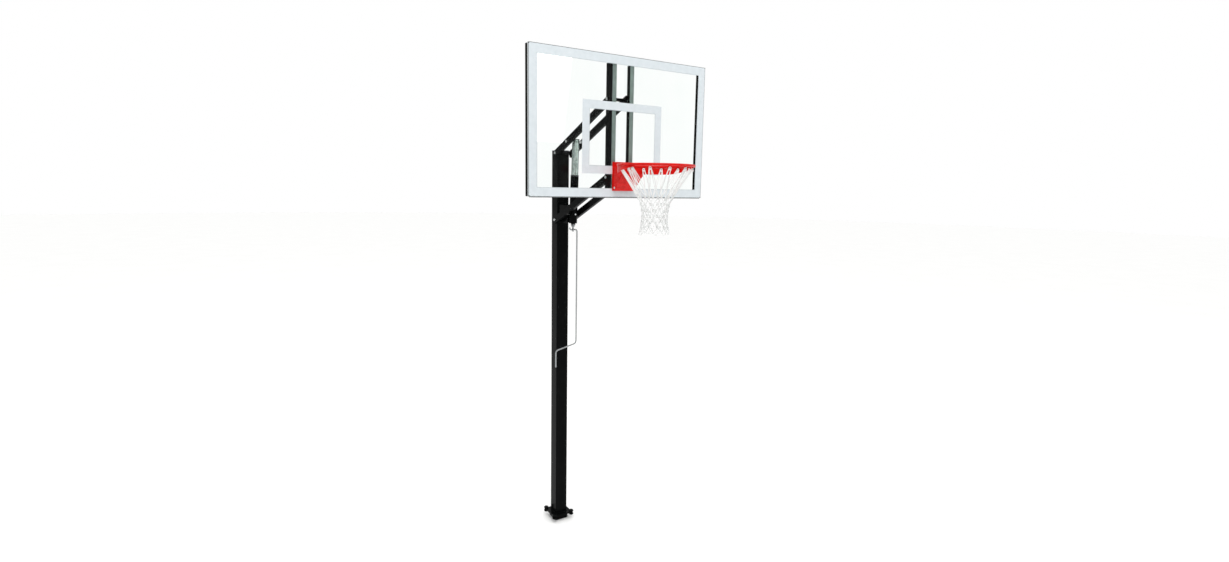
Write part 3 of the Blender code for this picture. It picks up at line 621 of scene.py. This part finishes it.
class HOOP_OT_stage(bpy.types.Operator):
    """Lays the pale floor and sets the soft studio lights and the camera"""
    bl_idname = "hoop.stage"
    bl_label = "Stage"

    def execute(self, context):
        stage = context.scene.hoop_stage
        self.lay_floor()
        self.set_sky(context, stage)
        for name, place, size, share in LIGHTS:
            self.add_light(name, place, size, stage.key * share)
        self.set_camera(context, stage)
        return {"FINISHED"}

    def lay_floor(self):
        """A flat round floor, so wide that its edge is lost in the backdrop."""
        rings = 10
        sides = 48
        vertices = [(0.0, 0.0, 0.0)]
        for ring in range(1, rings + 1):
            radius = FLOOR_REACH * (ring / rings) ** 2
            for side in range(sides):
                angle = 2 * math.pi * side / sides
                vertices.append((radius * math.cos(angle), radius * math.sin(angle), 0.0))
        faces = [(0, 1 + j, 1 + (j + 1) % sides) for j in range(sides)]
        for ring in range(rings - 1):
            for j in range(sides):
                k = (j + 1) % sides
                here = 1 + ring * sides
                faces.append((here + j, here + sides + j, here + sides + k, here + k))
        mesh = bpy.data.meshes.new("studio_floor")
        mesh.from_pydata(vertices, [], faces)
        floor = bpy.data.objects.new("studio_floor", mesh)
        bpy.context.scene.collection.objects.link(floor)
        floor.data.materials.append(finish("floor"))

    def set_sky(self, context, stage):
        """Soft light that grows from the horizon up, in front of a white backdrop."""
        world = bpy.data.worlds.new("studio")
        world.use_nodes = True
        tree = world.node_tree
        ahead = add_node(tree, "ShaderNodeTexCoord")
        parts = add_node(tree, "ShaderNodeSeparateXYZ", {"Vector": ahead.outputs["Generated"]})
        strength = add_node(tree, "ShaderNodeMapRange",
                            {"Value": parts.outputs["Z"], "To Min": stage.sky_low,
                             "To Max": stage.sky_high})
        soft = add_node(tree, "ShaderNodeBackground",
                        {"Color": (*stage.sky_colour, 1.0),
                         "Strength": strength.outputs["Result"]})
        backdrop = add_node(tree, "ShaderNodeBackground", {"Color": srgb("#FFFFFF")})
        path = add_node(tree, "ShaderNodeLightPath")
        seen = add_node(tree, "ShaderNodeMath",
                        {0: path.outputs["Is Camera Ray"], 1: path.outputs["Is Transmission Ray"]},
                        operation="MAXIMUM")
        mix = add_node(tree, "ShaderNodeMixShader",
                       {0: seen.outputs["Value"], 1: soft.outputs["Background"],
                        2: backdrop.outputs["Background"]})
        tree.links.new(mix.outputs["Shader"], tree.nodes["World Output"].inputs["Surface"])
        context.scene.world = world
        context.scene.view_settings.view_transform = "Standard"

    def add_light(self, name, place, size, power):
        """A square soft light at place that faces the board's bracket."""
        light = bpy.data.lights.new(name, "AREA")
        light.size = size
        light.energy = power
        lamp = bpy.data.objects.new(name, light)
        lamp.location = place
        lamp.rotation_euler = (LIGHT_TARGET - place).to_track_quat("-Z", "Y").to_euler()
        bpy.context.scene.collection.objects.link(lamp)

    def set_camera(self, context, stage):
        """A camera level with the board, to its left, turned right and tipped slightly down."""
        right = Vector((math.cos(CAMERA_YAW), -math.sin(CAMERA_YAW), 0.0))
        level = math.cos(CAMERA_PITCH)
        ahead = Vector((math.sin(CAMERA_YAW) * level, math.cos(CAMERA_YAW) * level,
                        -math.sin(CAMERA_PITCH)))
        up = right.cross(ahead)
        across = math.cos(CAMERA_ROLL) * right + math.sin(CAMERA_ROLL) * up
        upward = -math.sin(CAMERA_ROLL) * right + math.cos(CAMERA_ROLL) * up
        camera = bpy.data.cameras.new("camera")
        camera.sensor_width = 36.0
        camera.lens = stage.lens
        camera.clip_end = 200.0
        holder = bpy.data.objects.new("camera", camera)
        turn = Matrix((across, upward, -ahead)).transposed()
        holder.matrix_world = Matrix.Translation(CAMERA_PLACE) @ turn.to_4x4()
        context.scene.collection.objects.link(holder)
        context.scene.camera = holder


# Nodes that wear a darker copy of their slot's finish, as painted shade.
SHADED_COPIES = {"crank_rod": "shaded_zinc", "crank_eye": "shaded_zinc", "crank_yoke": "shaded_zinc"}


class HOOP_OT_metalwork(bpy.types.Operator):
    """Gives every part of the frame its paint, plating, plastic or glass"""
    bl_idname = "hoop.metalwork"
    bl_label = "Frame finishes"

    def execute(self, context):
        for part in frame["record"]["subparts"]:
            node = NODES[part["node"]]
            node.data.materials.clear()
            slot = part["material_slot"]
            node.data.materials.append(finish(SHADED_COPIES.get(part["node"], slot)))
        return {"FINISHED"}


# How far the print's face and back stand in front of the glass.
PRINT_FACE = 0.00018
PRINT_BACK = 0.00002
PRINT_MARGIN = 0.002
TARGET_CORNER = 0.003
LINE_GAP = 0.0002
SHARPEST_CORNER = 0.002


class HOOP_OT_print(bpy.types.Operator):
    """Prints the white border and the target box on the glass"""
    bl_idname = "hoop.print"
    bl_label = "Board print"

    def execute(self, context):
        sizes = context.scene.hoop_print
        width = GLASS_HIGH.x - GLASS_LOW.x - 2 * PRINT_MARGIN
        height = GLASS_HIGH.z - GLASS_LOW.z - 2 * PRINT_MARGIN
        middle = (GLASS_HIGH.z + GLASS_LOW.z) / 2
        self.add_band("border", width, height, sizes.border, sizes.corner, middle, sizes.line)
        target_middle = GLASS_LOW.z + sizes.target_rise + sizes.target_height / 2
        self.add_band("target", sizes.target_width, sizes.target_height, sizes.target_band,
                      TARGET_CORNER, target_middle, sizes.line)
        return {"FINISHED"}

    def add_band(self, name, width, height, band, corner, middle, line):
        """A white band with a thin grey line along its inner edge."""
        inset = band - line
        steps = ((0.0, inset, "print_white", "_band"),
                 (inset + LINE_GAP, band, "print_line", "_line"))
        for outer, inner, finish_name, ending in steps:
            loops = []
            for distance in (outer, inner):
                radius = max(corner - distance, SHARPEST_CORNER)
                loops.append(rounded_loop(width - 2 * distance, height - 2 * distance, radius))
            printed_band("printed_" + name + ending, loops[0], loops[1], middle,
                         GLASS_LOW.y - PRINT_FACE, GLASS_LOW.y - PRINT_BACK, finish_name)


SEAL_THICKNESS = 0.0016
SEAL_CLEARANCE = 0.0002
SEAL_INSET = 0.0004
# Size, drop and end inset of the black strip that paints the shade under the glass.
STRIP_RADIUS = 0.0018
STRIP_DROP = 0.0034
STRIP_END = 0.008
# Margins, corner and clearance of the grey-green pads that paint the reflection on the uprights'
# black front flanges.
REFLECTION_MARGIN_SIDE = 0.001
REFLECTION_MARGIN_END = 0.002
REFLECTION_CORNER = 0.001
REFLECTION_CLEARANCE = 0.00005


class HOOP_OT_seal(bpy.types.Operator):
    """Runs the grey seal round the glass, a black strip under the glass's bottom edge as painted
    shade, and grey-green pads on the uprights as painted reflection
    """
    bl_idname = "hoop.seal"
    bl_label = "Glass seal, shade strip and flange reflection"

    def execute(self, context):
        width = GLASS_HIGH.x - GLASS_LOW.x
        height = GLASS_HIGH.z - GLASS_LOW.z
        middle = (GLASS_HIGH.z + GLASS_LOW.z) / 2
        inner = rounded_loop(width + 2 * SEAL_CLEARANCE, height + 2 * SEAL_CLEARANCE, 0.0012)
        outer = rounded_loop(width + 2 * SEAL_THICKNESS, height + 2 * SEAL_THICKNESS, 0.003)
        seal = printed_band("glass_edge_seal", outer, inner, middle, GLASS_LOW.y + SEAL_INSET,
                            GLASS_HIGH.y - SEAL_INSET, "seal")
        # A black strip under the glass's bottom edge: painted shade along that edge.
        strip = Shape()
        run = [Vector((x, (GLASS_LOW.y + GLASS_HIGH.y) / 2, GLASS_LOW.z - STRIP_DROP))
               for x in (GLASS_LOW.x + STRIP_END, 0.0, GLASS_HIGH.x - STRIP_END)]
        strip.add_tube(run, STRIP_RADIUS, sides=10)
        strip.piece("painted_shade_strip_under_glass", "black_plastic", "backboard", "black_plastic")
        for side in ("left", "right"):
            self.add_flange_reflection(side)
        return {"FINISHED"}

    def add_flange_reflection(self, side):
        """A thin grey-green pad between the glass and the upright on that side: painted reflection
        on the upright's black front flange.
        """
        low, high = node_box("upright_" + side)
        loop = rounded_loop(high.x - low.x - 2 * REFLECTION_MARGIN_SIDE,
                            high.z - low.z - 2 * REFLECTION_MARGIN_END, REFLECTION_CORNER)
        centre_x = (low.x + high.x) / 2
        front = GLASS_HIGH.y + REFLECTION_CLEARANCE
        back = low.y - REFLECTION_CLEARANCE
        vertices = [(centre_x + x, y, (low.z + high.z) / 2 + z)
                    for y in (front, back) for x, z in loop]
        count = len(loop)
        faces = [tuple(range(count)), tuple(reversed(range(count, 2 * count)))]
        faces += [(i, i + count, (i + 1) % count + count, (i + 1) % count)
                  for i in range(count)]
        make_piece("upright_flange_reflection_" + side, vertices, faces, "flange_reflection", "backboard",
                   smooth=False)


ANCHOR_BOLTS = ("anchor_bolt_1", "anchor_bolt_2", "anchor_bolt_3", "anchor_bolt_4")
RIM_BOLTS = ("rim_bolt_1", "rim_bolt_2", "rim_bolt_3", "rim_bolt_4")
BOLTS = (
    # nodes, axis from head to tail, shank radius, head thickness, slot
    (ANCHOR_BOLTS, -Z, 0.0078, 0.0140, "black_paint"),
    (("upper_pivot_bolt", "lower_pivot_bolt"), X, 0.0058, 0.0075, "zinc"),
    (("trunnion_bolt",), X, 0.0058, 0.0060, "zinc"),
    (("lift_bolt", "upper_board_bolt", "lower_board_bolt"), X, 0.0058, 0.0075, "zinc"),
    (RIM_BOLTS, Y, 0.0048, 0.0060, "zinc"),
    (("rim_hinge_pin",), X, 0.0048, 0.0040, "zinc"),
    (("yoke_pin",), X, 0.0029, 0.0030, "zinc"),
)
# How far a bolt's tail stands out of its nut, and its point's length.
TAIL = 0.0030
POINT = 0.0008
SHANK_SIDES = 24
# A hexagon's half width across flats, for each unit across corners.
FLATS_PER_CORNER = math.cos(math.pi / 6)


class HOOP_OT_bolts(bpy.types.Operator):
    """Swaps the plain bolts for chamfered hex bolts with washer faces, threads and nuts"""
    bl_idname = "hoop.bolts"
    bl_label = "Bolts"

    def execute(self, context):
        # Rounded, since properties are single precision and the thread counts whole rings.
        pitch = round(context.scene.hoop_metal.thread_pitch, 6)
        for names, axis, shank, thickness, slot in BOLTS:
            for name in names:
                low, high = node_box(name)
                size = high - low
                length = abs(size.dot(axis))
                top = (low + high) / 2 - axis * length / 2
                corner = max(size[i] for i in range(3) if abs(axis[i]) < 0.5) / 2
                shape = Shape()
                self.add_head(shape, top, axis, thickness, corner)
                nut_face = length - TAIL - thickness
                self.add_nut(shape, top + axis * nut_face, axis, thickness, corner)
                self.add_shank(shape, top, axis, shank, thickness * 0.5,
                               nut_face + thickness * 0.5, length, pitch)
                piece = shape.piece("hex_" + name, slot, frame_body(name), slot)
                keep_edges(piece)
                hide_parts(name)
        return {"FINISHED"}

    def add_shank(self, shape, top, axis, shank, start, thread_start, length, pitch):
        """The plain shank from inside the head, the thread from inside the nut, and the point."""
        shape.add_turned(top, axis, ((start, shank), (thread_start, shank)), SHANK_SIDES)
        shape.add_thread(top, axis, thread_start, length - POINT / 2, shank, pitch)
        shape.add_turned(top, axis, ((length - POINT, shank * 0.86), (length, shank * 0.72)),
                         SHANK_SIDES)

    def add_head(self, shape, top, axis, thickness, corner):
        """A forged head: chamfered crown, six flats and a round washer face under it."""
        flats = corner * FLATS_PER_CORNER
        levels = ((0.0, flats * 0.45), (0.0, flats * 0.86), (thickness * 0.03, flats * 0.93),
                  (thickness * 0.16, corner), (thickness * 0.92, corner),
                  (thickness * 0.92, flats * 0.97), (thickness, flats * 0.97),
                  (thickness, flats * 0.5))
        shape.add_turned(top, axis, levels, flats=flats)

    def add_nut(self, shape, face, axis, thickness, corner):
        """A nut with both ends chamfered, and a nylon lock ring's step at its outer end."""
        flats = corner * FLATS_PER_CORNER
        levels = ((0.0, flats * 0.5), (0.0, flats * 0.95), (thickness * 0.12, corner),
                  (thickness * 0.74, corner), (thickness * 0.84, flats * 0.95),
                  (thickness * 0.86, flats * 0.84), (thickness * 0.97, flats * 0.80),
                  (thickness, flats * 0.72), (thickness, flats * 0.5))
        shape.add_turned(face, axis, levels, flats=flats)


# Where each bead lies from the face or edge it follows, and how far short of its ends it stops.
FOOT_BEAD_OFFSET = 0.0004
FOOT_BEAD_RISE = 0.0008
FOOT_BEAD_CORNER = 0.009
SLEEVE_BEAD_OFFSET = 0.0020
SLEEVE_BEAD_RISE = 0.0072
SLEEVE_BEAD_INSET = 0.004
EAR_BEAD_SIDE = 0.0004
EAR_BEAD_OFFSET = 0.0008
EAR_BEAD_INSET = 0.006
UPRIGHT_BEAD_SIDE = 0.0003
UPRIGHT_BEAD_RISE = 0.0002
UPRIGHT_BEAD_SPAN = (0.004, 0.034)
RING_BEAD_RISE = 0.0012
RING_BEAD_ANGLE = 0.30
STRAP_BEAD_RADIUS = 0.0036
STRAP_BEAD_SPACING = 0.40
STRAP_BEAD_ANGLE = 0.05


class HOOP_OT_welds(bpy.types.Operator):
    """Lays the rippled weld beads, painted over with the part they join"""
    bl_idname = "hoop.welds"
    bl_label = "Weld beads"

    def execute(self, context):
        metal = context.scene.hoop_metal
        self.weld_foot(metal)
        for name in ("upper", "lower"):
            self.weld_sleeve(metal, name)
        for side, sign in (("left", -1), ("right", 1)):
            self.weld_ear(metal, side, sign)
            self.weld_upright(metal, side, sign)
        self.weld_ring(metal)
        return {"FINISHED"}

    def weld_foot(self, metal):
        """Round the pole where it stands on its plate."""
        half = (POLE_HIGH.x - POLE_LOW.x) / 2 + FOOT_BEAD_OFFSET
        run = [Vector((x, y, PLATE_TOP + FOOT_BEAD_RISE))
               for x, y in rounded_loop(2 * half, 2 * half, FOOT_BEAD_CORNER, 5)]
        self.lay_bead(metal, "weld_pole_foot", run + run[:1], "root", "black_paint", 1.35)

    def weld_sleeve(self, metal, name):
        """Over and under a pivot's sleeve, against the pole."""
        low, high = node_box(name + "_pivot_sleeve")
        for level, side in (("over", 1), ("under", -1)):
            z = (low.z + high.z) / 2 + side * SLEEVE_BEAD_RISE
            run = [Vector((x, POLE_LOW.y - SLEEVE_BEAD_OFFSET, z))
                   for x in (low.x + SLEEVE_BEAD_INSET, high.x - SLEEVE_BEAD_INSET)]
            bead = "weld_" + name + "_sleeve_" + level
            self.lay_bead(metal, bead, run, "root", "black_paint", 0.8)

    def weld_ear(self, metal, side, sign):
        """Down the outside of one of the bracket's ears, against the pole."""
        low, high = node_box("actuator_ear_" + side)
        x = (low.x if sign < 0 else high.x) + sign * EAR_BEAD_SIDE
        run = [Vector((x, POLE_LOW.y - EAR_BEAD_OFFSET, z))
               for z in (low.z + EAR_BEAD_INSET, high.z - EAR_BEAD_INSET)]
        self.lay_bead(metal, "weld_ear_" + side, run, "root", "black_paint", 0.9)

    def weld_upright(self, metal, side, sign):
        """Across both ends of an upright, against the board's frame."""
        low, high = node_box("upright_" + side)
        x = (low.x if sign < 0 else high.x)
        for end, z in (("top", high.z + UPRIGHT_BEAD_RISE), ("bottom", low.z - UPRIGHT_BEAD_RISE)):
            run = [Vector((x + sign * UPRIGHT_BEAD_SIDE, low.y + depth, z))
                   for depth in UPRIGHT_BEAD_SPAN]
            bead = "weld_upright_" + side + "_" + end
            self.lay_bead(metal, bead, run, "backboard", "black_paint", 0.7)

    def weld_ring(self, metal):
        """One bead where the ring meets its housing, and stitches on both sides of the strap."""
        level = Vector((RING_CENTRE.x, RING_CENTRE.y, RING_LOW.z + RING_BEAD_RISE))
        outer = arc_points(level, RING_RADIUS + RING_ROD * 0.75, -RING_BEAD_ANGLE, RING_BEAD_ANGLE)
        self.lay_bead(metal, "weld_ring_housing", outer, "rim", "red_paint", 0.9)
        strap = level - RING_BEAD_RISE * Z
        for number in (-4, -3, -2, -1, 1, 2, 3, 4):
            middle = number * STRAP_BEAD_SPACING
            for side, radius in (("in", -STRAP_BEAD_RADIUS), ("out", STRAP_BEAD_RADIUS)):
                run = arc_points(strap, RING_RADIUS + radius, middle - STRAP_BEAD_ANGLE,
                                 middle + STRAP_BEAD_ANGLE, 8)
                name = "weld_strap_{}_{}".format(number + 5, side)
                self.lay_bead(metal, name, run, "rim", "red_paint", 0.6)

    def lay_bead(self, metal, name, points, body, finish_name, scale):
        """A bead whose radius swells once in every ripple."""
        path = bead_path(points)
        travelled = 0.0
        radii = []
        for i, point in enumerate(path):
            if i:
                travelled += (point - path[i - 1]).length
            ripple = 0.10 * math.cos(2 * math.pi * travelled / metal.ripple)
            drift = 0.10 * noise.noise(point * 220.0)
            taper = min(1.0, 0.55 + min(i, len(path) - 1 - i) * 0.12)
            radii.append(metal.weld * scale * (1.0 + ripple + drift) * taper)
        shape = Shape()
        shape.add_tube(path, radii, sides=8)
        shape.piece(name, finish_name, body, finish_name)


# The hooks start on the ring's inside and hang further in, clear of the strap behind them.
HOOK_TOP_RADIUS = RING_RADIUS - 0.0066
HOOK_RADIUS = RING_RADIUS - 0.0118
HOOK_TOP_DROP = 0.0050
HOOK_LEG = 0.003
HOOK_DROP = 0.012
HOOK_HALF_WIDTH = 0.0085
HOOK_WIRE_RADIUS = 0.0020
HOOK_STEPS = 12
# Depth over which a hook leans in from its top radius to its hanging radius.
HOOK_LEAN_DEPTH = 0.010


def around(angle):
    """Unit vectors out from the ring's centre and along the ring; angle 0 points to the board."""
    return (Vector((math.sin(angle), math.cos(angle), 0.0)),
            Vector((math.cos(angle), -math.sin(angle), 0.0)))


class HOOP_OT_hooks(bpy.types.Operator):
    """Welds the net's wire hooks under the ring"""
    bl_idname = "hoop.hooks"
    bl_label = "Net hooks"

    def execute(self, context):
        loops = context.scene.hoop_net.loops
        shape = Shape()
        for number in range(loops):
            out, along = around(2 * math.pi * (number + 0.5) / loops)
            top = RING_CENTRE + HOOK_TOP_RADIUS * out - HOOK_TOP_DROP * Z
            path = [top - HOOK_HALF_WIDTH * along]
            for step in range(HOOK_STEPS + 1):
                swing = math.pi * step / HOOK_STEPS
                fall = HOOK_LEG + HOOK_DROP * math.sin(swing)
                lean = (HOOK_TOP_RADIUS - HOOK_RADIUS) * min(fall / HOOK_LEAN_DEPTH, 1.0)
                path.append(top - HOOK_HALF_WIDTH * math.cos(swing) * along - fall * Z
                            - lean * out)
            path.append(top + HOOK_HALF_WIDTH * along)
            shape.add_tube(path, HOOK_WIRE_RADIUS, sides=8)
        shape.piece("net_hooks", "red_paint", "rim", "red_paint")
        return {"FINISHED"}


NET_ROWS = (
    # drop below the ring's centre, radius, how far the cords above the row belly outward
    (0.200, 0.1080, 0.000),
    (0.240, 0.0900, -0.001),
    (0.277, 0.0840, 0.000),
    (0.313, 0.0810, 0.000),
    (0.348, 0.0810, 0.001),
    (0.383, 0.0880, 0.001),
)
# Drop and radius of the free loops' tips.
NET_END = (0.424, 0.1000)
# The loop's eye below the ring's rod, and its half width and crown where it lies in its hook.
EYE_DROP = 0.0092
EYE_HALF_WIDTH = 0.006
EYE_CROWN = 0.0035
# The doubled cords from a hook: shoulder below the eye, side step at the knot, sag and spread.
SHOULDER_DROP = 0.004
FOOT_STEP = 0.002
LEG_SAG = 0.004
LEG_SPREAD = 0.0045
CORD_GAP = 0.0004
LEG_STEPS = 8
CORD_STEPS = 6
CORD_SIDES = 8
KNOT_SIDES = 6
TURN_STEPS = 12
WHIPPING_TURNS = 3
WHIPPING_DROP = 0.0140
WHIPPING_INSET = 0.0006
WHIPPING_RADIUS = 0.0068
WHIPPING_PITCH = 0.0034
KNOT_STEPS = 24
KNOT_SIZE = 1.65
TIP_STEPS = 16


class HOOP_OT_net(bpy.types.Operator):
    """Ties the knotted cord net to the ring"""
    bl_idname = "hoop.net"
    bl_label = "Net"

    def execute(self, context):
        net = context.scene.hoop_net
        self.random = random.Random(7)
        self.radius = net.cord / 2
        self.loops = net.loops
        self.loose = net.looseness
        self.shape = Shape()
        rows = [[self.knot_place(row, number, drop, radius) for number in range(net.loops)]
                for row, (drop, radius, belly) in enumerate(NET_ROWS)]
        self.hang_from_hooks(rows[0])
        for row in range(1, len(rows)):
            belly = NET_ROWS[row][2]
            for number in range(net.loops):
                shift = 0 if row % 2 else -1
                for offset in (shift, shift + 1):
                    above = rows[row - 1][(number + offset) % net.loops]
                    self.lay_cord(above, rows[row][number], belly)
        for row in rows:
            for place in row:
                self.tie_knot(place)
        self.end_loops(rows[-1])
        self.wrap_hooks()
        piece = self.shape.piece("knotted_net", "net_cord", "rim", "net_cord", with_uvs=True)
        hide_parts("net")
        return {"FINISHED"}

    def at(self, angle, radius, drop):
        """A point that far round, out and below the ring's centre."""
        return RING_CENTRE + Vector((radius * math.sin(angle), radius * math.cos(angle), -drop))

    def knot_place(self, row, number, drop, radius):
        """Where a knot hangs: each row is turned by half a mesh from the one above."""
        turn = 2 * math.pi / self.loops
        angle = turn * (number + (0.0 if row % 2 == 0 else 0.5))
        stray = [self.random.uniform(-1, 1) * self.loose for _ in range(3)]
        return self.at(angle + stray[0] / radius, radius + 0.5 * stray[1], drop + stray[2])

    def lay_cord(self, start, end, belly):
        """A cord between two knots, bowed out or in a little."""
        out = (start + end) / 2 - RING_CENTRE
        out.z = 0.0
        out.normalize()
        path = [start.lerp(end, t) + out * belly * 4 * t * (1 - t)
                for t in (i / CORD_STEPS for i in range(CORD_STEPS + 1))]
        self.shape.add_tube(path, self.radius, sides=CORD_SIDES)

    def hang_from_hooks(self, knots):
        """Each loop passes through its hook and runs down as doubled cords to the first knots."""
        turn = 2 * math.pi / self.loops
        for number in range(self.loops):
            angle = turn * (number + 0.5)
            out, along = around(angle)
            eye = self.at(angle, HOOK_RADIUS, RING_ROD + EYE_DROP)
            left = knots[number]
            right = knots[(number + 1) % self.loops]
            for pair in (-1, 1):
                inward = pair * (self.radius + CORD_GAP) * out
                down_left = self.leg(eye, left, -1, pair, out, along, inward)
                down_right = self.leg(eye, right, 1, pair, out, along, inward)
                path = down_left[::-1] + self.over_hook(eye + inward, along) + down_right
                self.shape.add_tube(path, self.radius, sides=CORD_SIDES)

    def leg(self, eye, knot, sign, pair, out, along, inward):
        """One of a pair of cords, from the hook's eye to a knot; the pair spreads halfway down."""
        shoulder = eye + sign * EYE_HALF_WIDTH * along - SHOULDER_DROP * Z + inward
        foot = knot + inward * 0.7 - sign * FOOT_STEP * along
        path = []
        for step in range(LEG_STEPS + 1):
            t = step / LEG_STEPS
            swell = math.sin(math.pi * t)
            path.append(shoulder.lerp(foot, t) - out * LEG_SAG * swell
                        + pair * LEG_SPREAD * swell * (along + 0.5 * out))
        return path

    def over_hook(self, eye, along):
        """The top of a loop where it lies in its hook."""
        return [eye + EYE_HALF_WIDTH * math.sin(a) * along + EYE_CROWN * math.cos(a) * Z
                for a in (math.pi * (i / 6 - 0.5) for i in range(1, 6))]

    def wrap_hooks(self):
        """The whipping that gathers each loop under its hook."""
        for number in range(self.loops):
            angle = 2 * math.pi * (number + 0.5) / self.loops
            eye = self.at(angle, HOOK_RADIUS - WHIPPING_INSET, RING_ROD + WHIPPING_DROP)
            path = []
            for step in range(WHIPPING_TURNS * TURN_STEPS + 1):
                t = 2 * math.pi * step / TURN_STEPS
                fall = WHIPPING_PITCH * step / TURN_STEPS
                path.append(eye + Vector((WHIPPING_RADIUS * math.cos(t),
                                          WHIPPING_RADIUS * math.sin(t), -fall)))
            self.shape.add_tube(path, self.radius * 0.75, sides=KNOT_SIDES)

    def tie_knot(self, place):
        """A pulled-tight overhand knot: one closed trefoil of cord."""
        out = place - RING_CENTRE
        out.z = 0.0
        out.normalize()
        along = out.cross(Z)
        spin = self.random.uniform(0, 2 * math.pi)
        size = self.radius * KNOT_SIZE
        path = []
        for step in range(KNOT_STEPS):
            t = 2 * math.pi * step / KNOT_STEPS
            a = math.sin(t + spin) + 2 * math.sin(2 * t)
            b = math.cos(t + spin) - 2 * math.cos(2 * t)
            c = -math.sin(3 * t)
            path.append(place + size * (0.62 * a * along + 0.80 * b * Z + 0.75 * c * out))
        self.shape.add_tube(path, self.radius * 0.92, sides=KNOT_SIDES, closed=True)

    def end_loops(self, knots):
        """The free loops under the last row."""
        drop, radius = NET_END
        turn = 2 * math.pi / self.loops
        for number in range(self.loops):
            first = knots[number]
            second = knots[(number + 1) % self.loops]
            angle = turn * (number + 1.0)
            tip = self.at(angle, radius + self.random.uniform(-0.006, 0.006),
                          drop + self.random.uniform(-0.010, 0.004))
            path = []
            for step in range(TIP_STEPS + 1):
                t = step / TIP_STEPS
                hang = math.sin(math.pi * t) ** 0.65
                sweep = math.cos(math.pi * t)
                across = 0.5 - 0.5 * math.copysign(abs(sweep) ** 1.4, sweep)
                side = first.lerp(second, across)
                bottom = tip + (across - 0.5) * 0.6 * (second - first)
                path.append(side.lerp(bottom, hang))
            self.shape.add_tube(path, self.radius, sides=CORD_SIDES)


class HOOP_PT_panel(bpy.types.Panel):
    """Lists the steps that dress the hoop"""
    bl_idname = "HOOP_PT_panel"
    bl_label = "Hoop"
    bl_space_type = "VIEW_3D"
    bl_region_type = "UI"
    bl_category = "Hoop"

    def draw(self, context):
        for group in ("hoop_print", "hoop_net", "hoop_metal", "hoop_stage"):
            settings = getattr(context.scene, group)
            box = self.layout.box()
            for name in settings.__annotations__:
                box.prop(settings, name)
        for step in STEPS:
            self.layout.operator(step.bl_idname)


GROUPS = {"hoop_print": HoopPrint, "hoop_net": HoopNet, "hoop_metal": HoopMetal,
          "hoop_stage": HoopStage}
STEPS = (HOOP_OT_stage, HOOP_OT_metalwork, HOOP_OT_print, HOOP_OT_seal, HOOP_OT_bolts,
         HOOP_OT_welds, HOOP_OT_hooks, HOOP_OT_net)


def register():
    """Registers the settings, the operators and the panel."""
    for name, group in GROUPS.items():
        bpy.utils.register_class(group)
        setattr(bpy.types.Scene, name, bpy.props.PointerProperty(type=group))
    for step in STEPS:
        bpy.utils.register_class(step)
    bpy.utils.register_class(HOOP_PT_panel)


def unregister():
    """Removes what register added."""
    bpy.utils.unregister_class(HOOP_PT_panel)
    for step in reversed(STEPS):
        bpy.utils.unregister_class(step)
    for name, group in GROUPS.items():
        delattr(bpy.types.Scene, name)
        bpy.utils.unregister_class(group)


def main():
    """Runs every step in order."""
    register()
    bpy.ops.hoop.stage()
    bpy.ops.hoop.metalwork()
    bpy.ops.hoop.print()
    bpy.ops.hoop.seal()
    bpy.ops.hoop.bolts()
    bpy.ops.hoop.welds()
    bpy.ops.hoop.hooks()
    bpy.ops.hoop.net()


if __name__ == "__main__":
    main()
